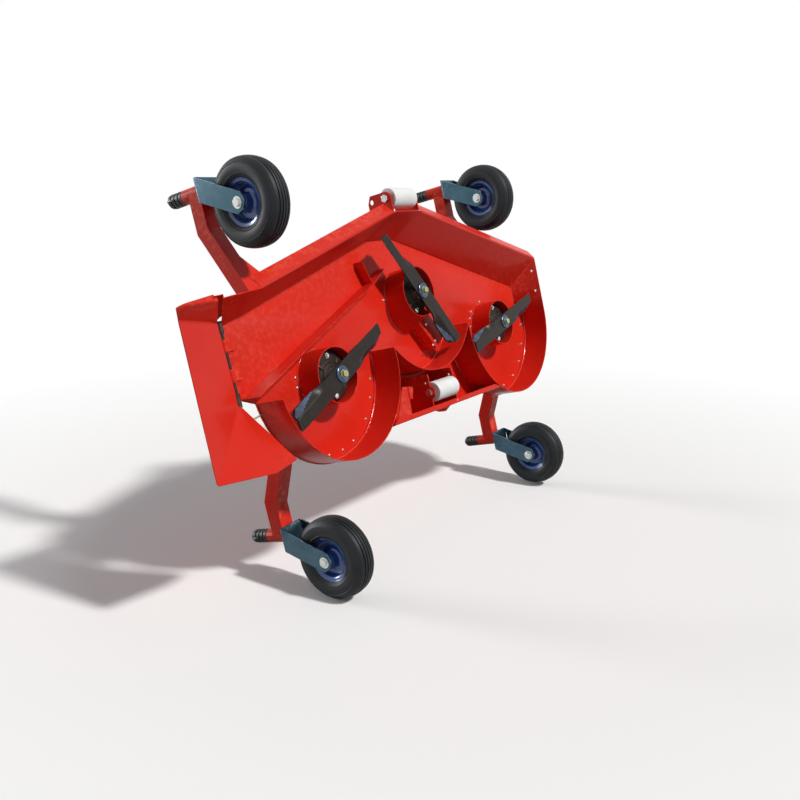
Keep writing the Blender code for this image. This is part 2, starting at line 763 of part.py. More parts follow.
def rear_flange():
    inner_y = FLANGE_Y - FLANGE_LIP
    wall_ends = (band_side(RIGHT, FLANGE_Y, 1), band_side(LEFT, FLANGE_Y, -1))
    lip_ends = (band_side(RIGHT, inner_y, 1), band_side(LEFT, inner_y, -1))
    rows = (
        [(wall_ends[0], FLANGE_Y, WALL_TOP), (wall_ends[1], FLANGE_Y, WALL_TOP)],
        [(wall_ends[0], FLANGE_Y, SKIRT_BOTTOM), (wall_ends[1], FLANGE_Y, SKIRT_BOTTOM)],
        [(lip_ends[0], inner_y, SKIRT_BOTTOM), (lip_ends[1], inner_y, SKIRT_BOTTOM)],
    )
    flange = sheet("rear_flange", rows, RED_PAINT)
    hole = circle((REAR_ROLLER_Y, REAR_ROLLER_Z), loose(ROLLER_BOLT_RADIUS, HOLE_SIDES))
    outlines = (rib_outline(), hole)
    for name, side in (("rib_right", -1), ("rib_left", 1)):
        at = (REAR_ROLLER_X + side * RIB_SPACING / 2, 0.0, 0.0)
        join(flange, flat(name, outlines, RIB_THICKNESS, RED_PAINT, at, SIDEWAYS))
    return flange


def roller(name, length, at):
    """A hollow-bored nylon roller with rounded shoulders, along X."""
    half = length / 2
    round_off = ROLLER_SHOULDER * (1 - math.sin(math.pi / 4))
    bore = loose(ROLLER_BOLT_RADIUS, ROUND_SIDES)
    shoulder = [
        (ROLLER_RADIUS - ROLLER_SHOULDER, half),
        (ROLLER_RADIUS - round_off, half - round_off),
        (ROLLER_RADIUS, half - ROLLER_SHOULDER),
    ]
    profile = shoulder + [(r, -h) for r, h in shoulder[::-1]] + [(bore, -half), (bore, half)]
    return turned(name, profile, WHITE_PLASTIC, at, ALONG_X, ring=True)


def cross_bolt(name, radius, head_radius, head, grip, material, at):
    """A bolt along X with a head at one end and a nut at the other, gripping what lies between."""
    half = grip / 2 + GAP
    bolt = rod(name, radius, 2 * half + head, material, at, ALONG_X, HOLE_SIDES)
    for hand, side in (("_nut", -1), ("_head", 1)):
        end = Vector(at) + Vector((side * (half + head / 2), 0.0, 0.0))
        join(bolt, rod(name + hand, head_radius, head, material, end, ALONG_X, HEX_SIDES))
    return bolt


def rollers():
    rear = (REAR_ROLLER_X, REAR_ROLLER_Y, REAR_ROLLER_Z)
    front = (0.0, FRONT_ROLLER_Y, FRONT_ROLLER_Z)
    roller("rear_roller", REAR_ROLLER_LENGTH, rear)
    roller("front_roller", FRONT_ROLLER_LENGTH, front)
    head = (ROLLER_BOLT_RADIUS, ROLLER_BOLT_HEAD_RADIUS, ROLLER_BOLT_HEAD)
    cross_bolt("rear_roller_axle", *head, RIB_SPACING + RIB_THICKNESS, ZINC, rear)
    cross_bolt("front_roller_axle", *head, EAR_SPACING + EAR_THICKNESS, ZINC, front)


def nose_line(height, off):
    """Y of the skirt's nose at a height, moved off its front face."""
    share = (height - SKIRT_BOTTOM) / (WALL_TOP - SKIRT_BOTTOM)
    run = WALL_TOP - SKIRT_BOTTOM
    stretch = math.hypot(run, SKIRT_SETBACK_NOSE) / run
    return fold_y(NOSE_HALF_WIDTH) + SKIRT_SETBACK_NOSE * share - off * stretch


def ear_outline():
    """An ear of the front bracket: round at the roller's bolt, straight up past the second hole."""
    off = SHEET / 2 + GAP
    bottom = FRONT_ROLLER_Z - EAR_RADIUS
    top = FRONT_ROLLER_Z + EAR_TOP_HOLE_RISE + EAR_RADIUS * 0.7
    roller_at = (FRONT_ROLLER_Y, FRONT_ROLLER_Z)
    front = arc(roller_at, EAR_RADIUS, -math.pi / 2, -math.pi, math.radians(18))
    crown = (FRONT_ROLLER_Y + EAR_RADIUS * 0.2, top)
    return front + [
        (FRONT_ROLLER_Y - EAR_RADIUS, top - EAR_RADIUS * 0.6),
        crown,
        (nose_line(top, off), top),
        (nose_line(bottom, off), bottom),
    ]


def front_roller_bracket():
    """Two ears on a back plate that lies along the skirt's nose."""
    radius = loose(ROLLER_BOLT_RADIUS, HOLE_SIDES)
    heights = (FRONT_ROLLER_Z, FRONT_ROLLER_Z + EAR_TOP_HOLE_RISE)
    holes = [circle((FRONT_ROLLER_Y, height), radius) for height in heights]
    outlines = [ear_outline()] + holes
    half = EAR_SPACING / 2
    bracket = flat(
        "front_roller_bracket", outlines, EAR_THICKNESS, RED_PAINT, (-half, 0, 0), SIDEWAYS
    )
    other = flat("bracket_ear", outlines, EAR_THICKNESS, RED_PAINT, (half, 0, 0), SIDEWAYS)
    bottom = FRONT_ROLLER_Z - EAR_RADIUS * 0.8
    top = FRONT_ROLLER_Z + EAR_TOP_HOLE_RISE
    off = SHEET / 2 + GAP + EAR_THICKNESS / 2
    rows = [
        [(-half, nose_line(height, off), height), (half, nose_line(height, off), height)]
        for height in (bottom, top)
    ]
    back = sheet("bracket_back", rows, RED_PAINT, EAR_THICKNESS)
    join(bracket, other, back)
    return bracket


def discharge_baffle():
    """The tapering wall that hands the grass over to the outlet, with its welded tab."""
    bend, end, tab_end = (CENTRE.spindle + Vector(p) for p in (BAFFLE_BEND, BAFFLE_END, BAFFLE_TAB))
    path = (BAFFLE_START, bend, end)
    depths = (BAFFLE_DEPTH_START, BAFFLE_DEPTH_BEND, BAFFLE_DEPTH_END)
    bottom = [(x, y, PLATE_BOTTOM - depth) for (x, y), depth in zip(path, depths)]
    baffle = sheet("discharge_baffle", (at_height(path, WALL_TOP), bottom), RED_PAINT)
    tab_path = (bend, tab_end)
    tab_bottom = at_height(tab_path, PLATE_BOTTOM - BAFFLE_TAB_DEPTH)
    join(baffle, sheet("baffle_tab", (at_height(tab_path, WALL_TOP), tab_bottom), RED_PAINT))
    return baffle


def plate_outline():
    """The plate in plan: it laps a little over every wall below it."""
    top = [(x, y - PLATE_LAP) for x, y in skirt_top()]
    corner = (top[-1][0] + PLATE_LAP, top[-1][1])
    lean = (corner[0], lean_start_y())
    rear = FLANGE_Y + PLATE_LAP
    left_radius = LEFT.radius + PLATE_LAP
    right_radius = RIGHT.radius + PLATE_LAP
    left_end = math.pi - math.asin((rear - LEFT.centre.y) / left_radius)
    right_start = math.asin((rear - RIGHT.centre.y) / right_radius)
    left_ring = arc(LEFT.centre, left_radius, 0.0, left_end)
    right_ring = arc(RIGHT.centre, right_radius, right_start, RIGHT_BAND_END)
    outlet = (DISCHARGE_X, BAFFLE_START.y)
    return top[:-1] + [corner, lean] + left_ring + right_ring + [outlet]


def cup_edges(chamber, radius, stretch):
    """A guard's upper edge, sunk in the plate, and its rim. The stretch moves the rear half."""
    base = []
    rim = []
    for index in range(CUP_SIDES):
        angle = math.tau * (index + 0.5) / CUP_SIDES
        x = chamber.spindle.x + radius * math.cos(angle)
        y = chamber.spindle.y + radius * math.sin(angle)
        shift = stretch if math.sin(angle) > 0 else 0.0
        base.append((x, y + shift, PLATE_BOTTOM + SHEET / 2))
        rim.append((x, y, CUP_RIM))
    return [base, rim]


def cup(chamber, stretch=0.0):
    """A spindle guard: a round rim that may widen rearwards where it meets the plate."""
    outer = cup_edges(chamber, CUP_RADIUS + SHEET / 2, stretch)
    inner = cup_edges(chamber, CUP_RADIUS - SHEET / 2, stretch)
    return ring_loft("cup_" + chamber.name, outer + inner[::-1], RED_PAINT)


def channel_box():
    """The sloping channel beside the centre guard, open at its ends."""
    way = Vector((math.cos(CHANNEL_WAY), math.sin(CHANNEL_WAY)))
    aside = Vector((way.y, -way.x))
    across = aside * CHANNEL_WIDTH
    start = CENTRE.spindle + way * (CUP_RADIUS - CHANNEL_INSET) - aside * CHANNEL_ASIDE
    ends = (start, start + way * CHANNEL_LENGTH)
    deep = PLATE_BOTTOM - CHANNEL_DEPTH
    high = PLATE_BOTTOM + SHEET / 2
    rows = (
        [(p.x, p.y, high) for p in ends],
        [(p.x, p.y, deep) for p in ends],
        [(p.x + across.x, p.y + across.y, deep) for p in ends],
        [(p.x + across.x, p.y + across.y, high) for p in ends],
    )
    return sheet("channel_box", rows, RED_PAINT)


def hinge_barrel(name, y, inner, material):
    """A hinge barrel on the pin's line, with a tongue to the sheet that carries it."""
    at = (HINGE_X, y, HINGE_Z)
    barrel = rod(name, BARREL_RADIUS, KNUCKLE_LENGTH, material, at, ALONG_Y, HOLE_SIDES)
    half = KNUCKLE_LENGTH / 2 - TONGUE_INSET
    if inner:
        low = (HINGE_X + GAP, y - half, HINGE_Z)
        high = (DISCHARGE_X + 2 * HINGE_OUT, y + half, PLATE_BOTTOM + PLATE_THICKNESS / 2)
        join(barrel, box(name + "_tongue", low, high, material))
        return barrel
    root = Vector((HINGE_X, HINGE_Z))
    slope = Vector((-CHUTE_REACH, -CHUTE_DROP)).normalized()
    tip = root + slope * PANEL_ROOT * 2
    rows = [
        [(root.x, y - half, root.y), (root.x, y + half, root.y)],
        [(tip.x, y - half, tip.y), (tip.x, y + half, tip.y)],
    ]
    join(barrel, sheet(name + "_tongue", rows, material, TONGUE_THICKNESS))
    return barrel


def hinge_bore(name):
    length = 2 * (HINGE_REAR_Y - HINGE_FRONT_Y)
    middle = (HINGE_X, (HINGE_REAR_Y + HINGE_FRONT_Y) / 2, HINGE_Z)
    radius = loose(HINGE_PIN_RADIUS, HOLE_SIDES)
    return rod(name, radius, length, ZINC, middle, ALONG_Y, HOLE_SIDES)


def deck_plate():
    middle = PLATE_BOTTOM + PLATE_THICKNESS / 2
    plate = flat("deck_plate", (plate_outline(),), PLATE_THICKNESS, RED_PAINT, (0, 0, middle))
    for chamber in CHAMBERS:
        join(plate, cup(chamber, CENTRE_CUP_STRETCH if chamber is CENTRE else 0.0))
    join(plate, channel_box())
    for index, y in enumerate(DECK_LUGS_Y):
        join(plate, hinge_barrel(f"deck_lug_{index}", y, True, RED_PAINT))
    for chamber in CHAMBERS:
        hole_at = (chamber.spindle.x, chamber.spindle.y, middle)
        name = "housing_hole_" + chamber.name
        radius = loose(HOUSING_RADIUS, CUP_SIDES)
        cut(plate, rod(name, radius, 4 * PLATE_THICKNESS, RED_PAINT, hole_at, segments=CUP_SIDES))
    cut(plate, hinge_bore("deck_hinge_bore"))
    return plate


def discharge_chute():
    """Three facets of one sheet below a hinge: the roof, the rear wing and the front wall."""
    slope = Vector((-CHUTE_REACH, -CHUTE_DROP)).normalized() * PANEL_ROOT
    root_x = HINGE_X + slope.x
    root_z = HINGE_Z + slope.y
    outer_x = HINGE_X - CHUTE_REACH
    outer_z = HINGE_Z - CHUTE_DROP
    front_x = HINGE_X - CHUTE_REACH * CHUTE_FRONT_SHARE
    front_outer = (front_x, CHUTE_FRONT_Y, HINGE_Z - CHUTE_DROP * CHUTE_FRONT_SHARE)
    wing = (HINGE_X + CHUTE_REAR_WING[0], CHUTE_REAR_WING[1], outer_z)
    tip = (HINGE_X + CHUTE_REAR_TIP[0], CHUTE_REAR_TIP[1], outer_z)
    rear_root = (root_x, HINGE_REAR_Y, root_z)
    front_root = (root_x, HINGE_FRONT_Y, root_z)
    wall_low = CHUTE_FRONT_WALL_BOTTOM
    shape = bmesh.new()
    points = [
        front_root,
        rear_root,
        (outer_x, CHUTE_REAR_Y, outer_z),
        front_outer,
        wing,
        tip,
        (HINGE_X - BARREL_RADIUS, CHUTE_FRONT_WALL_Y, wall_low),
        (outer_x, CHUTE_FRONT_WALL_Y, wall_low + CHUTE_FRONT_WALL_RISE),
    ]
    corners = [shape.verts.new(point) for point in points]
    facets = ((0, 1, 2, 3), (1, 5, 4), (1, 4, 2), (0, 3, 7, 6))
    for facet in facets:
        shape.faces.new([corners[index] for index in facet])
    # The hinge line is the object's origin, so the mesh is moved back by as much.
    bmesh.ops.translate(shape, verts=shape.verts, vec=(-HINGE_X, 0.0, -HINGE_Z))
    mesh = mesh_from(shape, "discharge_chute")
    chute = place("discharge_chute", mesh, RED_PAINT, (HINGE_X, 0.0, HINGE_Z))
    thicken(chute, SHEET)
    for index, y in enumerate(CHUTE_KNUCKLES_Y):
        join(chute, hinge_barrel(f"chute_knuckle_{index}", y, False, RED_PAINT))
    cut(chute, hinge_bore("chute_hinge_bore"))
    return chute


def chute_hinge_pin():
    """A rod through all the barrels, headed in front of the first and behind the last."""
    front = CHUTE_KNUCKLES_Y[0] - KNUCKLE_LENGTH / 2 - GAP
    rear = CHUTE_KNUCKLES_Y[-1] + KNUCKLE_LENGTH / 2 + GAP
    middle = (HINGE_X, (front + rear) / 2, HINGE_Z)
    length = rear - front + HINGE_PIN_HEAD
    pin = rod("chute_hinge_pin", HINGE_PIN_RADIUS, length, ZINC, middle, ALONG_Y, HOLE_SIDES)
    for name, y in (("front", front - HINGE_PIN_HEAD / 2), ("rear", rear + HINGE_PIN_HEAD / 2)):
        at = (HINGE_X, y, HINGE_Z)
        join(pin, rod("pin_head_" + name, BARREL_RADIUS, HINGE_PIN_HEAD, ZINC, at, ALONG_Y, HOLE_SIDES))
    return pin


def blade_section(along, tip):
    """One cross-section of a blade. Past the bend line its trailing side rises into a sail."""
    side = math.copysign(1.0, along)
    reach = abs(along)
    rise = min(max((reach - SAIL_START) / (SAIL_FULL - SAIL_START), 0.0), 1.0)
    half = BLADE_WIDTH / 2
    lower = []
    upper = []
    for across in (-half, -half + EDGE_BEVEL, -SAIL_BEND, SAIL_BEND, half - EDGE_BEVEL, half):
        trailing = across * side
        lift = SAIL_HEIGHT * rise * max(0.0, trailing - SAIL_BEND) / (half - SAIL_BEND)
        thin = rise if trailing == -half else 0.0
        slant = BLADE_SLANT * across / half if tip else 0.0
        thickness = BLADE_THICKNESS + (EDGE_THICKNESS - BLADE_THICKNESS) * thin
        lower.append((along - slant, across, lift))
        upper.append((along - slant, across, lift + thickness))
    return lower + upper[::-1]


def blade(chamber):
    """A mower blade that turns clockwise seen from above, cut at its leading edges."""
    end = BLADE_LENGTH / 2 - BLADE_SLANT
    stations = (-end, -SAIL_FULL, -SAIL_START, SAIL_START, SAIL_FULL, end)
    sections = [blade_section(along, abs(along) == end) for along in stations]
    at = (chamber.spindle.x, chamber.spindle.y, BLADE_BOTTOM)
    part = loft("blade_" + chamber.name, sections, DARK_STEEL, at, (0.0, 0.0, chamber.yaw))
    hole_at = (at[0], at[1], BLADE_BOTTOM + BLADE_THICKNESS / 2)
    name = "blade_hole_" + chamber.name
    radius = loose(SHAFT_RADIUS, ROD_SIDES)
    cut(part, rod(name, radius, 4 * BLADE_THICKNESS, DARK_STEEL, hole_at))
    return part


def spindle_shaft(chamber):
    """Shaft, shoulder above the blade, washer and bolt head below it."""
    top = CENTRE_SHAFT_TOP if chamber is CENTRE else SHAFT_TOP
    seat = BLADE_BOTTOM + BLADE_THICKNESS + GAP
    washer_top = BLADE_BOTTOM - GAP
    washer_bottom = washer_top - WASHER_THICKNESS
    shoulder_top = HOUSING_BOTTOM - GAP
    profile = [
        (0.0, top),
        (SHAFT_RADIUS, top),
        (SHAFT_RADIUS, shoulder_top),
        (SHAFT_SHOULDER_RADIUS, shoulder_top),
        (SHAFT_SHOULDER_RADIUS, seat),
        (SHAFT_RADIUS, seat),
        (SHAFT_RADIUS, washer_top),
        (WASHER_RADIUS, washer_top),
        (WASHER_RADIUS, washer_bottom),
        (0.0, washer_bottom),
    ]
    at = (chamber.spindle.x, chamber.spindle.y, 0.0)
    name = "spindle_shaft_" + chamber.name
    shaft = turned(name, profile, BRIGHT_STEEL, at, segments=ROD_SIDES)
    height = BOLT_HEAD_HEIGHT + WASHER_THICKNESS / 2
    head_at = (at[0], at[1], washer_bottom + WASHER_THICKNESS / 2 - height / 2)
    name = "blade_bolt_" + chamber.name
    head = rod(name, BOLT_HEAD_RADIUS, height, BRIGHT_STEEL, head_at, segments=HEX_SIDES)
    join(shaft, head)
    return shaft


def spindle_housing(chamber):
    """A cast housing that passes up through the plate, its flange inside the guard."""
    flange_bottom = WALL_TOP - HOUSING_FLANGE_THICKNESS
    bore = loose(SHAFT_RADIUS, ROUND_SIDES)
    profile = [
        (HOUSING_RADIUS - HOUSING_CHAMFER, HOUSING_TOP),
        (HOUSING_RADIUS, HOUSING_TOP - HOUSING_CHAMFER),
        (HOUSING_RADIUS, WALL_TOP),
        (HOUSING_FLANGE_RADIUS, WALL_TOP),
        (HOUSING_FLANGE_RADIUS, flange_bottom),
        (HOUSING_RADIUS, flange_bottom),
        (HOUSING_RADIUS, HOUSING_BOTTOM),
        (bore, HOUSING_BOTTOM),
        (bore, HOUSING_TOP),
    ]
    at = (chamber.spindle.x, chamber.spindle.y, 0.0)
    return turned("spindle_housing_" + chamber.name, profile, CAST_IRON, at, ring=True)


def pulley_profile(rim, root, bore):
    half = PULLEY_WIDTH / 2
    return [
        (rim, half),
        (rim, GROOVE_MOUTH_WIDTH / 2),
        (root, GROOVE_ROOT_WIDTH / 2),
        (root, -GROOVE_ROOT_WIDTH / 2),
        (rim, -GROOVE_MOUTH_WIDTH / 2),
        (rim, -half),
        (bore, -half),
        (bore, half),
    ]


def spindle_pulley(chamber):
    profile = pulley_profile(PULLEY_RIM, PULLEY_ROOT, loose(SHAFT_RADIUS, ROUND_SIDES))
    at = (chamber.spindle.x, chamber.spindle.y, PULLEY_HEIGHT)
    return turned("spindle_pulley_" + chamber.name, profile, CAST_IRON, at, ring=True)


def idler_centre():
    """The idler presses on the outside of the belt's front run, beside the centre pulley."""
    way = (LEFT.spindle - CENTRE.spindle).normalized()
    out = Vector((way.y, -way.x))
    run_start = CENTRE.spindle + out * (PULLEY_ROOT + GAP + BELT_DEPTH)
    return run_start + way * IDLER_ALONG + out * (IDLER_RADIUS - IDLER_PRESS)


def belt_loop(inner):
    """The belt's inner or outer edge in plan: arcs round the pulleys, joined by tangents.

    A pulley inside the loop has a positive radius, and the idler outside it a negative one.
    """
    extra = 0.0 if inner else BELT_DEPTH
    root = loose(PULLEY_ROOT, BELT_SIDES)
    wheels = [(chamber.spindle, root + extra) for chamber in (RIGHT, CENTRE)]
    wheels.append((idler_centre(), extra - BELT_DEPTH - loose(IDLER_RADIUS, BELT_SIDES)))
    wheels.append((LEFT.spindle, root + extra))
    sides = []
    for (near, near_radius), (far, far_radius) in zip(wheels, wheels[1:] + wheels[:1]):
        span = far - near
        lean = math.acos((far_radius - near_radius) / span.length)
        normal = Matrix.Rotation(lean, 2) @ span.normalized()
        sides.append((near - normal * near_radius, far - normal * far_radius))
    loop = []
    for index, (centre, radius) in enumerate(wheels):
        start = bearing(centre, sides[index - 1][1])
        end = bearing(centre, sides[index][0])
        if radius > 0:
            end = start + (end - start) % math.tau
        else:
            end = start - (start - end) % math.tau
        loop += arc(centre, abs(radius), start, end, math.tau / BELT_SIDES)
    return loop


def drive_belt():
    at = (0.0, 0.0, PULLEY_HEIGHT)
    return flat("drive_belt", (belt_loop(False), belt_loop(True)), BELT_HEIGHT, BELT_RUBBER, at)


def idler_parts():
    """A flat idler on a post whose foot is bolted to the plate."""
    centre = idler_centre()
    half = PULLEY_WIDTH / 2
    bore = loose(IDLER_POST_RADIUS, ROUND_SIDES)
    profile = [(IDLER_RADIUS, half), (IDLER_RADIUS, -half), (bore, -half), (bore, half)]
    at = (centre.x, centre.y, PULLEY_HEIGHT)
    turned("idler_pulley", profile, BRIGHT_STEEL, at, ring=True)
    foot_bottom = PLATE_TOP + GAP
    foot_top = foot_bottom + IDLER_FOOT[2]
    reach = Vector((IDLER_FOOT[0] / 2, IDLER_FOOT[1] / 2))
    low = (centre.x - reach.x, centre.y - reach.y, foot_bottom)
    bracket = box("idler_bracket", low, (centre.x + reach.x, centre.y + reach.y, foot_top), CAST_IRON)
    seat = PULLEY_HEIGHT - half - GAP
    post = turned(
        "idler_post",
        [
            (0.0, PULLEY_HEIGHT + half),
            (IDLER_POST_RADIUS, PULLEY_HEIGHT + half),
            (IDLER_POST_RADIUS, seat),
            (2 * IDLER_POST_RADIUS, seat),
            (2 * IDLER_POST_RADIUS, foot_top - IDLER_FOOT[2] / 2),
            (0.0, foot_top - IDLER_FOOT[2] / 2),
        ],
        CAST_IRON,
        (centre.x, centre.y, 0.0),
        segments=HOLE_SIDES,
    )
    join(bracket, post)


def stand():
    """The gearbox's stand: a folded plate on two flanged legs, in front of and behind the spindle."""
    front = CENTRE.spindle.y - STAND_FRONT
    rear = CENTRE.spindle.y + STAND_REAR
    bottom = PLATE_TOP + GAP + STAND_PLATE / 2
    top = STAND_TOP - STAND_PLATE / 2
    profile = (
        (front - STAND_FLANGE, bottom),
        (front, bottom),
        (front, top),
        (rear, top),
        (rear, bottom),
        (rear + STAND_FLANGE, bottom),
    )
    rows = [[(side * STAND_HALF_WIDTH, y, z) for side in (-1, 1)] for y, z in profile]
    return sheet("gearbox_stand", rows, CAST_IRON, STAND_PLATE)


def gearbox():
    """A cast right-angle box: the input comes in from the rear and the spindle from below."""
    size = Vector(GEARBOX_SIZE)
    centre = Vector((CENTRE.spindle.x, CENTRE.spindle.y, 0.0))
    low = centre + Vector((-size.x / 2, -size.y / 2, STAND_TOP - STAND_PLATE / 2))
    body = box("gearbox", low, low + size, CAST_IRON)
    bevel = body.modifiers.new("rounded", "BEVEL")
    bevel.width = GEARBOX_BEVEL
    bevel.segments = 1
    join(body, stand())
    boss_length = 2 * INPUT_BOSS_LENGTH
    for name, side in (("gearbox_boss_rear", 1), ("gearbox_boss_front", -1)):
        boss_at = (centre.x, centre.y + side * size.y / 2, INPUT_HEIGHT)
        join(body, rod(name, INPUT_BOSS_RADIUS, boss_length, CAST_IRON, boss_at, ALONG_Y))
    bore_length = 2 * GEARBOX_BORE_DEPTH
    bore_at = (centre.x, centre.y, STAND_TOP)
    shaft_bore = loose(SHAFT_RADIUS, ROD_SIDES)
    cut(body, rod("gearbox_spindle_bore", shaft_bore, bore_length, CAST_IRON, bore_at))
    bore_at = (centre.x, centre.y + size.y / 2 + INPUT_BOSS_LENGTH, INPUT_HEIGHT)
    input_bore = loose(INPUT_RADIUS, ROD_SIDES)
    cut(body, rod("gearbox_input_bore", input_bore, bore_length, CAST_IRON, bore_at, ALONG_Y))
    return body


def input_shaft():
    """The stub that the tractor's drive shaft slides onto."""
    mouth = CENTRE.spindle.y + GEARBOX_SIZE[1] / 2 + INPUT_BOSS_LENGTH
    start = mouth - GEARBOX_BORE_DEPTH + GAP
    length = INPUT_LENGTH + GEARBOX_BORE_DEPTH
    groove_top = length - INPUT_GROOVE_BACK
    groove_bottom = groove_top - INPUT_GROOVE_WIDTH
    groove_radius = INPUT_RADIUS - INPUT_GROOVE_DEPTH
    profile = [
        (0.0, length),
        (groove_radius, length),
        (INPUT_RADIUS, length - INPUT_GROOVE_DEPTH),
        (INPUT_RADIUS, groove_top + INPUT_GROOVE_DEPTH),
        (groove_radius, groove_top),
        (groove_radius, groove_bottom),
        (INPUT_RADIUS, groove_bottom - INPUT_GROOVE_DEPTH),
        (INPUT_RADIUS, 0.0),
        (0.0, 0.0),
    ]
    at = (CENTRE.spindle.x, start, INPUT_HEIGHT)
    return turned("input_shaft", profile, BRIGHT_STEEL, at, ALONG_Y, ROD_SIDES)


def belt_cover(chamber, side):
    """A folded cover over an outer pulley and the belt's runs, open toward the gearbox."""
    inner_x = side * COVER_INNER_X
    pulley = chamber.spindle
    inner_front = (inner_x, CENTRE.spindle.y - COVER_FRONT_REACH)
    span = Vector(inner_front) - pulley
    lean = math.acos(COVER_RADIUS / span.length)
    front_angle = math.atan2(span.y, span.x) + side * lean
    if side < 0:
        front_angle %= math.tau
    round_end = arc(pulley, COVER_RADIUS, math.pi / 2, front_angle, COVER_ARC_STEP)
    path = [(inner_x, COVER_REAR_Y)] + round_end + [inner_front]
    shape = bmesh.new()
    low = [shape.verts.new((x, y, PLATE_TOP + GAP)) for x, y in path]
    high = [shape.verts.new((x, y, COVER_TOP)) for x, y in path]
    for index in range(len(path) - 1):
        shape.faces.new((low[index], low[index + 1], high[index + 1], high[index]))
    shape.faces.new(high)
    name = "belt_cover_" + chamber.name
    cover = place(name, mesh_from(shape, name), RED_PAINT)
    thicken(cover, COVER_WALL)
    return cover


def hitch_bracket(name, side):
    """An upright with an eye for the lift arm's pin, on a foot."""
    foot_bottom = PLATE_TOP + GAP
    foot_top = foot_bottom + HITCH_FOOT_THICKNESS
    rear = FLANGE_Y
    eye = (rear + HITCH_OVERHANG, foot_bottom + HITCH_HEIGHT)
    round_end = arc(eye, HITCH_EYE_RADIUS, 0.0, math.radians(150), math.radians(30))
    nose = (eye[0] + HITCH_EYE_RADIUS, eye[1] - HITCH_EYE_RADIUS)
    outline = [(HITCH_FRONT_Y, foot_bottom), (rear, foot_bottom), nose]
    outline += round_end
    outline.append((HITCH_FRONT_Y, foot_top + HITCH_EYE_RADIUS))
    hole = circle(eye, HITCH_PIN_RADIUS)
    bracket = flat(name, (outline, hole), HITCH_PLATE, RED_PAINT, (side * HITCH_X, 0, 0), SIDEWAYS)
    low = (side * HITCH_X - HITCH_FOOT_HALF_WIDTH, HITCH_FRONT_Y, foot_bottom)
    high = (side * HITCH_X + HITCH_FOOT_HALF_WIDTH, rear, foot_top)
    join(bracket, box(name + "_foot", low, high, RED_PAINT))
    return bracket


def arm_profile(pivot_y, kink_y):
    """The arm's side view: level from the pivot to the kink, then down to the plate."""
    half = ARM_TUBE / 2
    way = math.copysign(1.0, kink_y - pivot_y)
    shift = way * half * math.tan(ARM_SLOPE / 2)
    seat = PLATE_TOP + GAP + FOOT_THICKNESS / 2
    upper = (kink_y + shift, ARM_AXIS + half)
    lower = (kink_y - shift, ARM_AXIS - half)
    upper_end = upper[0] + way * (upper[1] - seat) / math.tan(ARM_SLOPE)
    lower_end = lower[0] + way * (lower[1] - seat) / math.tan(ARM_SLOPE)
    outline = [
        (pivot_y, upper[1]),
        upper,
        (upper_end, seat),
        (lower_end, seat),
        lower,
        (pivot_y, lower[1]),
    ]
    return outline, upper_end, lower_end


def gusset(name, side, kink_y, lower_end):
    """A three-cornered plate between a front arm's underside and its foot, toward the deck's middle."""
    half = ARM_TUBE / 2
    shift = half * math.tan(ARM_SLOPE / 2)
    start_z = ARM_AXIS - half

    def on_slope(y):
        return start_z - (y - kink_y + shift) * math.tan(ARM_SLOPE) + GUSSET_THICKNESS / 2

    edge = side * (CASTER_X - half + GUSSET_THICKNESS)
    inner = edge - side * GUSSET_WIDTH
    top_y = lower_end - GUSSET_RUN
    shape = bmesh.new()
    corners = [
        (edge, top_y, on_slope(top_y)),
        (edge, lower_end, on_slope(lower_end)),
        (inner, lower_end, on_slope(lower_end)),
    ]
    shape.faces.new([shape.verts.new(corner) for corner in corners])
    plate = place(name, mesh_from(shape, name), RED_PAINT)
    thicken(plate, GUSSET_THICKNESS)
    return plate


def arm_foot(name, side, upper_end, lower_end):
    """The plate under an arm's inner end. A front arm's reaches in under the gusset."""
    x = side * CASTER_X
    front_y = min(upper_end, lower_end) - FOOT_MARGIN
    rear_y = max(upper_end, lower_end) + FOOT_MARGIN
    outer = x + side * FOOT_HALF_WIDTH
    inner = x - side * FOOT_HALF_WIDTH
    outline = [(outer, front_y), (outer, rear_y), (inner, rear_y)]
    if upper_end < 0:
        tab = x - side * (ARM_TUBE / 2 + GUSSET_WIDTH)
        tab_rear_y = lower_end + 2 * FOOT_MARGIN
        outline += [(inner, tab_rear_y), (tab, tab_rear_y), (tab, front_y)]
    else:
        outline.append((inner, front_y))
    middle = PLATE_TOP + GAP + FOOT_THICKNESS / 2
    return flat(name, (outline,), FOOT_THICKNESS, RED_PAINT, (0.0, 0.0, middle))


def caster_arm(place_name, side, pivot_y, kink_y):
    name = "arm_" + place_name
    x = side * CASTER_X
    outline, upper_end, lower_end = arm_profile(pivot_y, kink_y)
    arm = flat(name, (outline,), ARM_TUBE, RED_PAINT, (x, 0.0, 0.0), SIDEWAYS)
    tube_at = (x, pivot_y, (PIVOT_TUBE_BOTTOM + PIVOT_TUBE_TOP) / 2)
    join(arm, rod(name + "_tube", PIVOT_TUBE_RADIUS, PIVOT_TUBE_HEIGHT, RED_PAINT, tube_at))
    if kink_y < 0:
        join(arm, gusset(name + "_gusset", side, kink_y, lower_end))
    join(arm, arm_foot(name + "_foot", side, upper_end, lower_end))
    bore = loose(PIVOT_RADIUS, ROD_SIDES)
    cut(arm, rod(name + "_bore", bore, 2 * PIVOT_TUBE_HEIGHT, RED_PAINT, tube_at))
    return arm


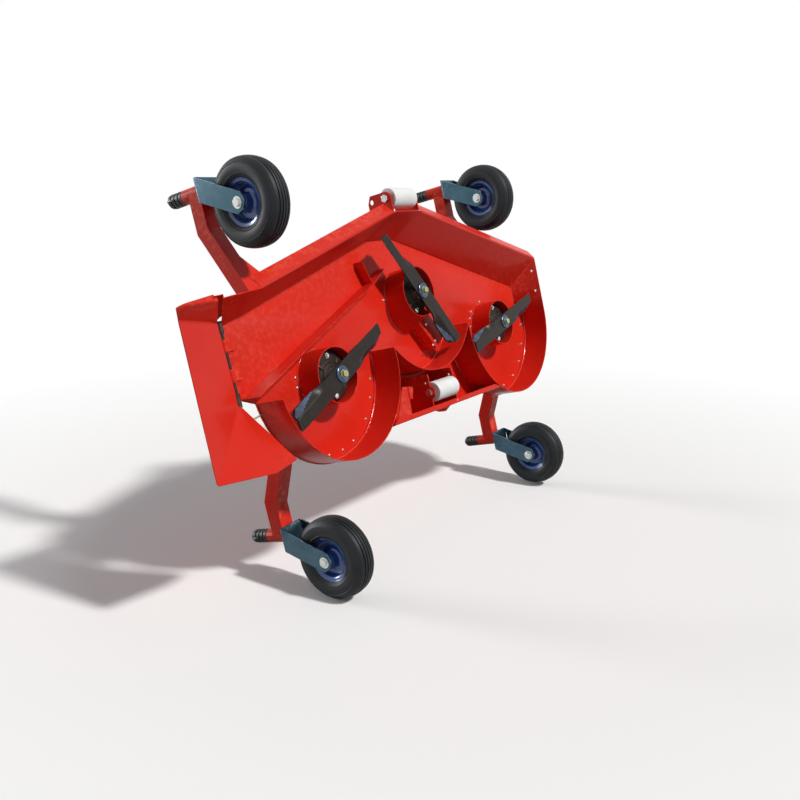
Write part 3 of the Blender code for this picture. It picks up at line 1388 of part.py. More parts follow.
def fork_leg_outline():
    """A leg's side view: a flat bar from the bridge down to the axle, its end chamfered."""
    top = Vector((FORK_TOP_BACK, FORK_TOP - FORK_PLATE))
    axle = Vector((CASTER_TRAIL, WHEEL_AXLE_Z))
    way = (axle - top).normalized()
    across = Vector((-way.y, way.x)) * FORK_LEG_WIDTH / 2
    rear = axle + across
    front = axle - across
    end = axle + way * FORK_END
    shoulder = way * (FORK_END - FORK_CHAMFER)
    narrow = across * (1 - FORK_CHAMFER / (FORK_LEG_WIDTH / 2))
    # Both long edges are carried up to the bridge's top face.
    return [
        tuple(rear + way * ((FORK_TOP - rear.y) / way.y)),
        tuple(rear + shoulder),
        tuple(end + narrow),
        tuple(end - narrow),
        tuple(front + shoulder),
        tuple(front + way * ((FORK_TOP - front.y) / way.y)),
    ]


def caster_fork(place_name, side, pivot_y):
    """A bent flat bar over the wheel, with the upright pivot welded to its bridge."""
    name = "caster_fork_" + place_name
    x = side * CASTER_X
    top = SPACERS_TOP + PIVOT_STUB
    length = top - FORK_TOP + FORK_PLATE / 2
    fork = rod(name, PIVOT_RADIUS, length, ZINC, (x, pivot_y, top - length / 2))
    outline = fork_leg_outline()
    ends = sorted((outline[0][0], outline[-1][0]))
    outer = FORK_INNER_WIDTH / 2 + FORK_PLATE
    low = (x - outer, pivot_y + ends[0], FORK_TOP - FORK_PLATE)
    high = (x + outer, pivot_y + ends[1], FORK_TOP)
    join(fork, box(name + "_bridge", low, high, ZINC))
    hole = circle((CASTER_TRAIL, WHEEL_AXLE_Z), loose(AXLE_RADIUS, HOLE_SIDES))
    offset = (FORK_INNER_WIDTH + FORK_PLATE) / 2
    for hand, leg_x in (("right", x - offset), ("left", x + offset)):
        at = (leg_x, pivot_y, 0.0)
        join(fork, flat(name + "_leg_" + hand, (outline, hole), FORK_PLATE, ZINC, at, SIDEWAYS))
    return fork


def height_spacers(place_name, side, pivot_y):
    """The stack of height spacers above the arm, with the wire clip that holds it."""
    name = "height_spacers_" + place_name
    bore = loose(PIVOT_RADIUS, ROD_SIDES)
    bottom = PIVOT_TUBE_TOP + GAP
    outer = []
    for index in range(SPACER_COUNT):
        high = SPACERS_TOP - index * SPACER_HEIGHT
        outer += [(PIVOT_TUBE_RADIUS - SPACER_DRAFT, high), (PIVOT_TUBE_RADIUS, high - SPACER_HEIGHT)]
    outer[-1] = (PIVOT_TUBE_RADIUS, bottom)
    profile = outer + [(bore, bottom), (bore, SPACERS_TOP)]
    at = (side * CASTER_X, pivot_y, 0.0)
    stack = turned(name, profile, BLACK_PLASTIC, at, segments=ROD_SIDES, ring=True)
    tail_x = at[0] + side * (PIVOT_TUBE_RADIUS + CLIP_WIRE)
    tail_half = CLIP_TAIL_HALF
    tail_low = (tail_x - tail_half, pivot_y - tail_half, SPACERS_TOP - CLIP_DROP)
    tail_high = (tail_x + tail_half, pivot_y + tail_half, SPACERS_TOP + tail_half)
    tail = box(name + "_clip_tail", tail_low, tail_high, ZINC)
    ends = sorted((at[0] + side * (bore + CLIP_WIRE / 2), tail_x + side * CLIP_WIRE))
    bar_low = (ends[0], pivot_y - CLIP_WIRE, SPACERS_TOP - CLIP_WIRE / 2)
    bar = box(name + "_clip_bar", bar_low, (ends[1], pivot_y + CLIP_WIRE, SPACERS_TOP + CLIP_WIRE), ZINC)
    join(stack, bar, tail)
    return stack


def rim_profile():
    """A pressed rim with its hub: dished discs on both sides of a well."""
    bore = loose(AXLE_RADIUS, ROUND_SIDES)
    hub_half = FORK_INNER_WIDTH / 2 - GAP
    half = [
        (HUB_RADIUS, hub_half),
        (HUB_RADIUS, DISC_HALF_WIDTH),
        (RIM_RADIUS - DISC_FILLET, DISC_HALF_WIDTH),
        (RIM_RADIUS - RIM_WALL, RIM_HALF_WIDTH),
        (RIM_FLANGE_RADIUS, RIM_HALF_WIDTH + RIM_CURL),
        (RIM_RADIUS, RIM_HALF_WIDTH - BEAD_INSET),
    ]
    return half + [(r, -h) for r, h in half[::-1]] + [(bore, -hub_half), (bore, hub_half)]


def tyre_profile():
    """A pneumatic tyre: round shoulders, grooves round the tread and a hollow carcass inside."""
    half = TYRE_WIDTH / 2
    bead = RIM_HALF_WIDTH - BEAD_INSET
    shoulder_height = WHEEL_RADIUS - SHOULDER_DROP
    tread_edge = WHEEL_RADIUS - TREAD_CROWN
    tread_half = half * TREAD_SHARE
    bulge = RIM_FLANGE_RADIUS + (shoulder_height - RIM_FLANGE_RADIUS) * BULGE_SHARE
    side = [
        (RIM_FLANGE_RADIUS + BEAD_LIFT, bead + BEAD_SPREAD),
        (bulge, half),
        (shoulder_height, half * SHOULDER_SHARE),
        (tread_edge, tread_half),
    ]
    tread = []
    pitch = 2 * tread_half / (TREAD_GROOVES + 1)
    for index in range(TREAD_GROOVES):
        middle = tread_half - (index + 1) * pitch
        crown = WHEEL_RADIUS - TREAD_CROWN * (middle / tread_half) ** 2
        wide = TREAD_GROOVE_WIDTH / 2
        tread += [
            (crown, middle + wide),
            (crown - TREAD_GROOVE_DEPTH, middle),
            (crown, middle - wide),
        ]
    mirrored = [(r, -h) for r, h in side[::-1]]
    inner_radius = loose(RIM_RADIUS, WHEEL_SIDES)
    liner = tread_edge - TREAD_GROOVE_DEPTH - CARCASS
    inner = [(inner_radius, -bead), (liner, -tread_half), (liner, tread_half), (inner_radius, bead)]
    return side + tread + mirrored + inner


def wheel(place_name, side, pivot_y):
    at = (side * CASTER_X, pivot_y + CASTER_TRAIL, WHEEL_AXLE_Z)
    turned("wheel_rim_" + place_name, rim_profile(), RIM_PAINT, at, ALONG_X, ring=True)
    turned("tyre_" + place_name, tyre_profile(), TYRE_RUBBER, at, ALONG_X, WHEEL_SIDES, ring=True)
    grip = FORK_INNER_WIDTH + 2 * FORK_PLATE
    name = "wheel_axle_" + place_name
    cross_bolt(name, AXLE_RADIUS, AXLE_HEAD_RADIUS, AXLE_HEAD, grip, ZINC, at)


def corners():
    """The four casters: name, side and the Y of the pivot and of the arm's kink."""
    for end, pivot_y, kink_y in (
        ("front", FRONT_PIVOT_Y, FRONT_PIVOT_Y + FRONT_ARM_REACH),
        ("rear", REAR_PIVOT_Y, REAR_PIVOT_Y - REAR_ARM_REACH),
    ):
        for hand, side in (("right", -1), ("left", 1)):
            yield f"{end}_{hand}", side, pivot_y, kink_y


def build():
    deck_plate()
    front_skirt()
    right_band()
    centre_band()
    left_band()
    rear_flange()
    discharge_baffle()
    front_roller_bracket()
    rollers()
    discharge_chute()
    chute_hinge_pin()
    for chamber in CHAMBERS:
        blade(chamber)
        spindle_shaft(chamber)
        spindle_housing(chamber)
        spindle_pulley(chamber)
    drive_belt()
    idler_parts()
    gearbox()
    input_shaft()
    belt_cover(RIGHT, -1)
    belt_cover(LEFT, 1)
    hitch_bracket("hitch_bracket_right", -1)
    hitch_bracket("hitch_bracket_left", 1)
    for place_name, side, pivot_y, kink_y in corners():
        caster_arm(place_name, side, pivot_y, kink_y)
        caster_fork(place_name, side, pivot_y)
        height_spacers(place_name, side, pivot_y)
        wheel(place_name, side, pivot_y)


build()
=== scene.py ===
# %% [markdown]
# # A three-spindle front mower, seen from below
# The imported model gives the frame: every solid of the machine at its true place, in metres.
# This lesson dresses it. Plain solids that already have the right shape get a rounded copy
# and a finish, and the pieces that the eye rests on (tyres, blades, guards, rollers, skirt)
# are modelled again with more care.

# %% Load the frame
import json
import math

import bmesh
import bpy
from mathutils import Matrix, Vector


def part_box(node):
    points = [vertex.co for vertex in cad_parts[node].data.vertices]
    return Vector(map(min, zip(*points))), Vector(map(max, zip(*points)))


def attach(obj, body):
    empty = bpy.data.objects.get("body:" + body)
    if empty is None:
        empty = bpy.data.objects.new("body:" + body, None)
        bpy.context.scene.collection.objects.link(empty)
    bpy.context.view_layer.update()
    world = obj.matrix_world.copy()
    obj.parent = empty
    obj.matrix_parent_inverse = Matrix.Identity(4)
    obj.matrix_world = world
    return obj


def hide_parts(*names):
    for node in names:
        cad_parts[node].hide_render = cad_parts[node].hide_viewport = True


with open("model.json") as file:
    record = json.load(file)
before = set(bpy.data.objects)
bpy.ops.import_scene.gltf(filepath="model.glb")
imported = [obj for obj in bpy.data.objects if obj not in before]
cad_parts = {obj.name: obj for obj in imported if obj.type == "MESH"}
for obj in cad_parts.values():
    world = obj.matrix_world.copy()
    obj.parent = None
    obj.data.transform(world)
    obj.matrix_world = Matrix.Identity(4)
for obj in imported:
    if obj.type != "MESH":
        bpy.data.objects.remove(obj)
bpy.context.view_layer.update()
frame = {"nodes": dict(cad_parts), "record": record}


# %% [markdown]
# The machine is easiest to describe in the deck's own layout, where X is 0 on the centre
# spindle and Y is 0 midway between the outer spindles. The frame's origin lies elsewhere,
# so one shift carries everything from the layout to the frame. It is measured on the centre
# pulley, whose place in the layout is known.

# %% The deck's layout, measured on the frame
def middle(node):
    low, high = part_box(node)
    return (low + high) / 2


CENTRE_SPINDLE = Vector((0.0, -0.190966, 0.0))
SHIFT = middle("spindle_pulley_centre") - CENTRE_SPINDLE
SHIFT.z = 0.0
CORNERS = ("front_right", "front_left", "rear_right", "rear_left")
SPINDLES = {side: middle("spindle_pulley_" + side) - SHIFT for side in ("right", "centre", "left")}
for spindle in SPINDLES.values():
    spindle.z = 0.0
WHEELS = {corner: middle("wheel_rim_" + corner) - SHIFT for corner in CORNERS}
PIVOTS = {corner: middle("height_spacers_" + corner) - SHIFT for corner in CORNERS}
for corner in CORNERS:
    PIVOTS[corner].x = WHEELS[corner].x
    PIVOTS[corner].z = 0.0
print("shift:", [round(x, 4) for x in SHIFT])

# %% [markdown]
# ## Finishes
# Real paint is never one flat colour. Two effects are shared by nearly every finish, so each
# is a node group that is built once: a soft blotchy variation of a colour, and a colour that
# shows only on the edges. On most finishes that is wear, where the paint or the plating is
# rubbed away first; on the red paint it is a painted highlight, a lighter red where the cut
# edges catch the light.

# %% Node group: blotches
def preset(node, **values):
    """Sets a node's inputs by name; an underscore stands for a space."""
    for label, value in values.items():
        node.inputs[label.replace("_", " ")].default_value = value


def new_group(name, inputs, outputs):
    group = bpy.data.node_groups.new(name, "ShaderNodeTree")
    for label, kind, value in inputs:
        socket = group.interface.new_socket(name=label, in_out="INPUT", socket_type=kind)
        if value is not None:
            socket.default_value = value
    for label, kind in outputs:
        group.interface.new_socket(name=label, in_out="OUTPUT", socket_type=kind)
    return group, group.nodes.new("NodeGroupInput"), group.nodes.new("NodeGroupOutput")


def make_blotches():
    """A colour that drifts between itself and a second one in soft clouds."""
    colour = "NodeSocketColor"
    number = "NodeSocketFloat"
    inputs = (("Colour", colour, None), ("Second", colour, None), ("Scale", number, 8.0),
              ("Amount", number, 0.5))
    group, start, end = new_group("soft_blotches", inputs, (("Colour", colour), ("Mask", number)))
    place = group.nodes.new("ShaderNodeTexCoord")
    cloud = group.nodes.new("ShaderNodeTexNoise")
    preset(cloud, Detail=5.0)
    spread = group.nodes.new("ShaderNodeMapRange")
    preset(spread, From_Min=0.35, From_Max=0.70)
    share = group.nodes.new("ShaderNodeMath")
    share.operation = "MULTIPLY"
    blend = group.nodes.new("ShaderNodeMix")
    blend.data_type = "RGBA"
    link = group.links.new
    link(place.outputs["Object"], cloud.inputs["Vector"])
    link(start.outputs["Scale"], cloud.inputs["Scale"])
    link(cloud.outputs["Fac"], spread.inputs["Value"])
    link(spread.outputs["Result"], share.inputs[0])
    link(start.outputs["Amount"], share.inputs[1])
    link(share.outputs["Value"], blend.inputs["Factor"])
    link(start.outputs["Colour"], blend.inputs["A"])
    link(start.outputs["Second"], blend.inputs["B"])
    link(blend.outputs["Result"], end.inputs["Colour"])
    link(share.outputs["Value"], end.inputs["Mask"])
    return group


BLOTCHES = make_blotches()

# %% [markdown]
# Wear sits where a surface sticks out, and so does the painted highlight on the red paint's cut
# edges. Pointiness says how strongly it does so at each point, only what lies above the reach
# counts as an edge, and noise breaks the line up.

# %% Node group: worn and lit edges
def make_worn_and_lit_edges():
    """A mask of the sharp outward edges, broken up so that the wear and the painted edge highlight
    aren't even.
    """
    number = "NodeSocketFloat"
    inputs = (("Scale", number, 60.0), ("Reach", number, 0.53))
    group, start, end = new_group("worn_and_lit_edges", inputs, (("Mask", number),))
    shape = group.nodes.new("ShaderNodeNewGeometry")
    place = group.nodes.new("ShaderNodeTexCoord")
    breakup = group.nodes.new("ShaderNodeTexNoise")
    preset(breakup, Detail=6.0)
    edge = group.nodes.new("ShaderNodeMapRange")
    preset(edge, From_Max=0.62)
    broken = group.nodes.new("ShaderNodeMapRange")
    preset(broken, From_Min=0.48, From_Max=0.60)
    both = group.nodes.new("ShaderNodeMath")
    both.operation = "MULTIPLY"
    link = group.links.new
    link(shape.outputs["Pointiness"], edge.inputs["Value"])
    link(start.outputs["Reach"], edge.inputs["From Min"])
    link(place.outputs["Object"], breakup.inputs["Vector"])
    link(start.outputs["Scale"], breakup.inputs["Scale"])
    link(breakup.outputs["Fac"], broken.inputs["Value"])
    link(edge.outputs["Result"], both.inputs[0])
    link(broken.outputs["Result"], both.inputs[1])
    link(both.outputs["Value"], end.inputs["Mask"])
    return group


WORN_AND_LIT_EDGES = make_worn_and_lit_edges()

# %% [markdown]
# A finish is then one short recipe: a colour and its cloudy partner, a roughness, a metallic
# value, a coat of varnish, a fine bump at the scale of the real surface, the colour that shows on
# the edges (worn paint or plating on most finishes, a painted highlight on the red paint), and
# how strongly the surface mirrors. Clouds and bump are given as (scale, strength). Under so
# even a light, paint mirrors less than the usual 0.5, or a deep red turns pale.

# %% The recipe for a finish
def linear(channel):
    """A channel of 0 to 255, as the eye sees it, turned into an amount of light."""
    value = channel / 255
    return value / 12.92 if value <= 0.04045 else ((value + 0.055) / 1.055) ** 2.4


def rgba(srgb):
    return tuple(linear(channel) for channel in srgb) + (1.0,)


def finish(name, colour, second, cloud, rough, metal, coat, bump, worn_and_lit_edge=None, mirror=0.5):
    material = bpy.data.materials.new(name)
    material.use_nodes = True
    material.diffuse_color = rgba(colour)
    nodes = material.node_tree.nodes
    link = material.node_tree.links.new
    shader = nodes["Principled BSDF"]
    preset(shader, Metallic=metal, Roughness=rough, Specular_IOR_Level=mirror)
    preset(shader, Coat_Weight=coat, Coat_Roughness=0.08)
    blotches = nodes.new("ShaderNodeGroup")
    blotches.node_tree = BLOTCHES
    preset(blotches, Colour=rgba(colour), Second=rgba(second), Scale=cloud[0], Amount=cloud[1])
    colour_out = blotches.outputs["Colour"]
    if worn_and_lit_edge:
        edges = nodes.new("ShaderNodeGroup")
        edges.node_tree = WORN_AND_LIT_EDGES
        worn_and_lit = nodes.new("ShaderNodeMix")
        worn_and_lit.data_type = "RGBA"
        preset(worn_and_lit, B=rgba(worn_and_lit_edge))
        link(edges.outputs["Mask"], worn_and_lit.inputs["Factor"])
        link(colour_out, worn_and_lit.inputs["A"])
        colour_out = worn_and_lit.outputs["Result"]
    link(colour_out, shader.inputs["Base Color"])
    place = nodes.new("ShaderNodeTexCoord")
    grain = nodes.new("ShaderNodeTexNoise")
    preset(grain, Scale=bump[0], Detail=3.0)
    relief = nodes.new("ShaderNodeBump")
    preset(relief, Strength=bump[1], Distance=0.001)
    link(place.outputs["Object"], grain.inputs["Vector"])
    link(grain.outputs["Fac"], relief.inputs["Height"])
    link(relief.outputs["Normal"], shader.inputs["Normal"])
    varied = nodes.new("ShaderNodeMapRange")
    preset(varied, To_Min=rough - 0.05, To_Max=rough + 0.07)
    link(blotches.outputs["Mask"], varied.inputs["Value"])
    link(varied.outputs["Result"], shader.inputs["Roughness"])
    return material


# The red's edge colour, a lighter orange-red on the sharp edges, is a painted highlight where the
# cut edges catch the light.
RED = finish("red_powder_coat", (214, 42, 27), (204, 34, 22), (5.0, 0.6), 0.34, 0.0, 0.06,
             (260.0, 0.05), (234, 92, 60), 0.13)
WELD = finish("painted_weld", (206, 38, 26), (220, 52, 34), (90.0, 0.6), 0.22, 0.0, 0.4,
              (160.0, 0.5), None, 0.35)
BLADE_STEEL = finish("blade_steel", (31, 25, 22), (44, 36, 32), (30.0, 0.7), 0.40, 0.2, 0.0,
                     (220.0, 0.12), (120, 120, 122), 0.25)
GROUND_EDGE = finish("ground_edge", (140, 158, 184), (90, 102, 118), (60.0, 0.6), 0.24, 0.9, 0.0,
                     (700.0, 0.1))
ZINC = finish("zinc_plate", (66, 98, 114), (46, 74, 88), (22.0, 0.7), 0.27, 0.75, 0.0,
              (500.0, 0.05), (190, 206, 214))
WASHER_BLUE = finish("blued_washer", (70, 86, 112), (46, 60, 82), (60.0, 0.6), 0.28, 0.8, 0.0,
                     (500.0, 0.08), (170, 186, 206))
YELLOW_ZINC = finish("yellow_zinc", (186, 190, 140), (140, 140, 92), (80.0, 0.7), 0.32, 0.8, 0.0,
                     (600.0, 0.05))
BRIGHT = finish("bright_bolts", (214, 216, 212), (172, 176, 176), (90.0, 0.5), 0.25, 0.9, 0.0,
                (600.0, 0.05))
RIM_BLUE = finish("rim_blue_paint", (36, 70, 132), (54, 100, 180), (14.0, 0.6), 0.30, 0.1, 0.5,
                  (300.0, 0.04), (96, 120, 160))
TYRE = finish("ribbed_rubber", (21, 24, 28), (32, 37, 42), (26.0, 0.7), 0.52, 0.0, 0.0,
              (380.0, 0.25), None, 0.26)
NYLON = finish("white_nylon", (238, 240, 242), (222, 222, 216), (18.0, 0.6), 0.42, 0.0, 0.0,
               (420.0, 0.08))
BLACK = finish("black_plastic", (22, 24, 26), (32, 34, 36), (30.0, 0.5), 0.50, 0.0, 0.0,
               (500.0, 0.15), None, 0.25)
# The casting's dark brown is partly the iron's own colour and partly painted shade for the deep
# inside of the guards.
CASTING_AND_SHADE = finish("cast_housing_and_shade", (38, 27, 22), (54, 40, 33), (40.0, 0.7), 0.62, 0.2, 0.0,
                 (240.0, 0.45), (90, 76, 68), 0.3)
GEARCASE = finish("gearcase_paint", (74, 77, 80), (92, 95, 98), (20.0, 0.6), 0.48, 0.15, 0.15,
                  (260.0, 0.35), (140, 142, 144))
PULLEY_STEEL = finish("pulley_steel", (84, 88, 92), (110, 114, 118), (30.0, 0.6), 0.36, 0.7, 0.0,
                      (300.0, 0.08), (180, 182, 184))
SHAFT_STEEL = finish("turned_steel", (186, 190, 190), (150, 154, 156), (60.0, 0.5), 0.26, 0.95, 0.0,
                     (700.0, 0.06))
# The sail's bluish colour is a painted reflection of the sky on the lower face of the sail.
SAIL_REFLECTION = finish("sail_painted_reflection", (92, 106, 132), (50, 56, 70), (34.0, 0.9), 0.30, 0.7, 0.0,
                    (260.0, 0.25))
# The hinge's dark brown is painted shade, standing for the shadow in the gap along the hinge.
HINGE_SHADE = finish("hinge_painted_shade", (58, 40, 36), (40, 30, 28), (60.0, 0.6), 0.5, 0.3, 0.0,
                    (300.0, 0.2), (120, 96, 84), 0.4)
BELT = finish("belt_rubber", (24, 24, 25), (40, 38, 36), (50.0, 0.6), 0.72, 0.0, 0.0, (300.0, 0.3))
print("finishes:", len(bpy.data.materials))

# %% [markdown]
# ## How a piece is finished
# Every piece ends the same way: its mesh is carried from the layout to the frame, shaded
# smooth with its true corners kept sharp, given a finish and tied to the body that it moves
# with. Where it stands for a plain solid, that solid is hidden.

# %% Settle a shape as a piece
def settle(shape, name, body, material, stands_for=(), sharp=35.0):
    """Carries a shape to the frame and makes it a piece that rides on a body."""
    bmesh.ops.translate(shape, verts=shape.verts, vec=SHIFT)
    mesh = bpy.data.meshes.new(name)
    shape.to_mesh(mesh)
    shape.free()
    mesh.materials.append(material)
    mesh.shade_smooth()
    mesh.set_sharp_from_angle(angle=math.radians(sharp))
    piece = bpy.data.objects.new(name, mesh)
    bpy.context.scene.collection.objects.link(piece)
    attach(piece, body)
    if stands_for:
        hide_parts(*stands_for)
    return piece


def sheet_metal(piece, thickness, offset=0.0):
    """Gives an open surface its thickness."""
    solidify = piece.modifiers.new("thickness", "SOLIDIFY")
    solidify.thickness = thickness
    solidify.offset = offset
    solidify.use_even_offset = True


def round_off(piece, width, segments=2, angle=34.0):
    """Rounds every edge a little, because no real edge is perfectly sharp."""
    bevel = piece.modifiers.new("rounded", "BEVEL")
    bevel.width = width
    bevel.segments = segments
    bevel.limit_method = "ANGLE"
    bevel.angle_limit = math.radians(angle)
    bevel.harden_normals = True


def small_part(shape, name, body, material=BRIGHT, sharp=35.0):
    """A bolt, a washer or a clip, which stands for no solid."""
    return settle(shape, name, body, material, (), sharp)


# %% [markdown]
# A solid that already has the right shape is copied, joined and given rounded edges. The copy
# keeps the body of its solid, which is looked up in the frame's record.

# %% A rounded copy of a plain solid
SAME_POINT = 0.00002
SAME_CORNER = 0.000005
SAME_PLANE = math.radians(0.4)


def merged(node):
    """A node's mesh in the layout, with its loose triangles joined and its flats made whole."""
    shape = bmesh.new()
    shape.from_mesh(frame["nodes"][node].data)
    bmesh.ops.remove_doubles(shape, verts=shape.verts, dist=SAME_POINT)
    bmesh.ops.dissolve_limit(shape, angle_limit=SAME_PLANE, verts=shape.verts, edges=shape.edges)
    bmesh.ops.translate(shape, verts=shape.verts, vec=-SHIFT)
    return shape


def body_of(node):
    for body, nodes in frame["record"]["behaviour"]["bodies"].items():
        if node in nodes:
            return body
    raise ValueError(node)


def stand_in(shape, name, node, material, sharp=35.0):
    """A piece on the body of the plain solid that it hides."""
    return settle(shape, name, body_of(node), material, (node,), sharp)


def rounded_copy(node, material, width, segments=2):
    round_off(stand_in(merged(node), node + "_finished", node, material), width, segments)


# %% [markdown]
# Wheels, shafts and castings are turned on a lathe, or look as if they were. Half a section,
# spun all the way round, gives them exactly.

# %% Turned pieces
def tilt_to(axis):
    """The turn that brings the Z axis to another one."""
    return Vector((0, 0, 1)).rotation_difference(Vector(axis)).to_matrix().to_4x4()


def spun(profile, at, axis=(0, 0, 1), steps=64, closed=False):
    """Turns a profile of (radius, height) about an axis through a point."""
    shape = bmesh.new()
    corners = [shape.verts.new((radius, 0.0, height)) for radius, height in profile]
    edges = [shape.edges.new(pair) for pair in zip(corners, corners[1:])]
    if closed:
        edges.append(shape.edges.new((corners[-1], corners[0])))
    bmesh.ops.spin(
        shape,
        geom=corners + edges,
        cent=(0, 0, 0),
        axis=(0, 0, 1),
        angle=math.tau,
        steps=steps,
        use_merge=True,
    )
    bmesh.ops.remove_doubles(shape, verts=shape.verts, dist=SAME_CORNER)
    bmesh.ops.transform(shape, matrix=Matrix.Translation(at) @ tilt_to(axis), verts=shape.verts)
    bmesh.ops.recalc_face_normals(shape, faces=shape.faces)
    return shape


def eased(profile, radius, steps=3):
    """Replaces each inner corner of a profile by a small arc that leaves both sides some length."""
    points = [Vector(point) for point in profile]
    out = [tuple(points[0])]
    for before, corner, after in zip(points, points[1:], points[2:]):
        into = before - corner
        away = after - corner
        room = min(radius, into.length * 0.45, away.length * 0.45)
        start = corner + into.normalized() * room
        end = corner + away.normalized() * room
        for index in range(steps + 1):
            share = index / steps
            point = start.lerp(corner, share).lerp(corner.lerp(end, share), share)
            out.append(tuple(point))
    out.append(tuple(points[-1]))
    return out


# %% [markdown]
# Bolts and weld beads are many and small, so each is a few simple solids that are added to a
# shape they share. A bolt is a stack of cylinders and cones.

# %% Bolts
def add_cone(shape, radius, length, at, axis, sides, top=None, turn=0.0):
    """A cylinder or cone that stands on a point and rises along an axis."""
    turned = tilt_to(axis) @ Matrix.Rotation(turn, 4, "Z")
    spot = Matrix.Translation(at) @ turned @ Matrix.Translation((0, 0, length / 2))
    bmesh.ops.create_cone(
        shape,
        cap_ends=True,
        segments=sides,
        radius1=radius,
        radius2=radius if top is None else top,
        depth=length,
        matrix=spot,
    )


HEX_TURN = 0.2


def add_hex_bolt(shape, at, axis, size, washer):
    """A washer, a hexagon head and the small chamfer on top of it, all in shares of their radii."""
    at = Vector(at)
    axis = Vector(axis).normalized()
    thick = washer * 0.13
    height = size * 0.62
    add_cone(shape, washer, thick, at, axis, 28)
    head = at + axis * thick * 0.98
    add_cone(shape, size, height, head, axis, 6, turn=HEX_TURN)
    add_cone(shape, size, size * 0.16, head + axis * height, axis, 6, size * 0.84, HEX_TURN)


# The steps of a cup head in shares of its radius: foot, height, radius below, radius above.
DOME_STEPS = ((0.0, 0.25, 1.0, 1.0), (0.25, 0.25, 1.0, 0.82), (0.5, 0.2, 0.82, 0.4))


def add_dome_bolt(shape, at, axis, size):
    """A cup head: half a ball on a short rim."""
    at = Vector(at)
    axis = Vector(axis).normalized()
    for low, rise, wide, narrow in DOME_STEPS:
        add_cone(shape, size * wide, size * rise, at + axis * size * low, axis, 18, size * narrow)


# %% [markdown]
# A weld bead is a ring of edges that is copied along the seam and bridged from copy to copy.

# %% Weld beads
def add_bead(shape, path, radius):
    """A round bead along a path: a ring of eight sides that is carried from point to point."""
    points = [Vector(point) for point in path]
    rings = []
    for index, point in enumerate(points):
        way = (points[min(index + 1, len(points) - 1)] - points[max(index - 1, 0)]).normalized()
        spot = Matrix.Translation(point) @ tilt_to(way)
        ring = bmesh.ops.create_circle(shape, segments=8, radius=radius, matrix=spot)
        rings.append(ring["verts"])
    for near, far in zip(rings, rings[1:]):
        edges = [edge for ring in (near, far) for vert in ring for edge in vert.link_edges
                 if edge.other_vert(vert) in ring]
        bmesh.ops.bridge_loops(shape, edges=list(dict.fromkeys(edges)))
    for ring in (rings[0], rings[-1]):
        bmesh.ops.contextual_create(shape, geom=ring)


BEAD_STEP = math.radians(4)


def arc_points(centre, radius, start, end, height):
    count = max(2, math.ceil(abs(end - start) / BEAD_STEP))
    angles = [start + (end - start) * index / count for index in range(count + 1)]
    return [(centre[0] + radius * math.cos(a), centre[1] + radius * math.sin(a), height)
            for a in angles]


# %% [markdown]
# ## The shell of the deck
# The shell is sheet steel, folded and welded. The plate is cut from the plain solid's own top
# face, so its outline and its three round holes are exact, and a Solidify modifier gives it
# its 4 mm. The three guards round the spindles are then modelled on their own, as smooth
# rings, because in the photograph they are the first thing that the eye meets.

# %% The plate
PLATE_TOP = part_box("deck_plate")[1].z
PLATE_THICK = 0.004
PLATE_BOTTOM = PLATE_TOP - PLATE_THICK
SKIRT_BOTTOM = 0.055
SHEET = 0.003
FACES_UP = 0.99
LEVEL_ROOM = 0.0004


def top_face_of(node, height):
    """A node's faces that look up and lie at a height."""
    shape = merged(node)
    others = [f for f in shape.faces
              if f.normal.z < FACES_UP or abs(f.calc_center_median().z - height) > LEVEL_ROOM]
    bmesh.ops.delete(shape, geom=others, context="FACES")
    return shape


def as_sheet(shape, name, body="deck", stands_for=(), width=0.0010, segments=2, angle=38.0):
    """Settles an open surface as red sheet steel with eased edges."""
    piece = settle(shape, name, body, RED, stands_for)
    sheet_metal(piece, SHEET)
    round_off(piece, width, segments, angle)


deck_sheet = settle(top_face_of("deck_plate", PLATE_TOP), "deck_sheet", "deck", RED,
                    ("deck_plate",))
sheet_metal(deck_sheet, PLATE_THICK, -1.0)
round_off(deck_sheet, 0.0012)
print("plate: its top at", round(PLATE_TOP, 4), "m")

# %% [markdown]
# Each guard is a ring of sheet. A circle of edges is pulled up to the plate, and the centre
# one is drawn out rearwards on its way, as the real one is. A bead of weld runs round its foot.

# %% The guards round the spindles
GUARD_RADIUS = 0.0865
GUARD_RIM = 0.079
GUARD_STRETCH = {"right": 0.0, "centre": 0.048, "left": 0.0}


def new_verts(grown):
    """The points that an extrusion made."""
    return [item for item in grown["geom"] if isinstance(item, bmesh.types.BMVert)]


def guard(side):
    """A ring from its free rim up to the plate, wider at the back where it meets the plate."""
    shape = bmesh.new()
    centre = SPINDLES[side] + Vector((0, 0, GUARD_RIM))
    bmesh.ops.create_circle(shape, segments=96, radius=GUARD_RADIUS,
                            matrix=Matrix.Translation(centre))
    base = new_verts(bmesh.ops.extrude_edge_only(shape, edges=shape.edges[:]))
    bmesh.ops.translate(shape, verts=base, vec=(0, 0, PLATE_BOTTOM - GUARD_RIM))
    for vert in base:
        if vert.co.y > centre.y:
            vert.co.y += GUARD_STRETCH[side]
    bmesh.ops.recalc_face_normals(shape, faces=shape.faces)
    as_sheet(shape, "guard_" + side, width=0.0012, segments=3, angle=34.0)


for side in SPINDLES:
    guard(side)
print("guards:", len(SPINDLES), "of", GUARD_RADIUS * 2, "m")

# %% [markdown]
# ## The three chambers
# The rear wall of each blade chamber is a band of sheet rolled to an arc. One upright edge is
# spun about the chamber's centre, which gives a far smoother arc than the plain solid has. Two
# arcs meet on a line, which is found where their circles cross.

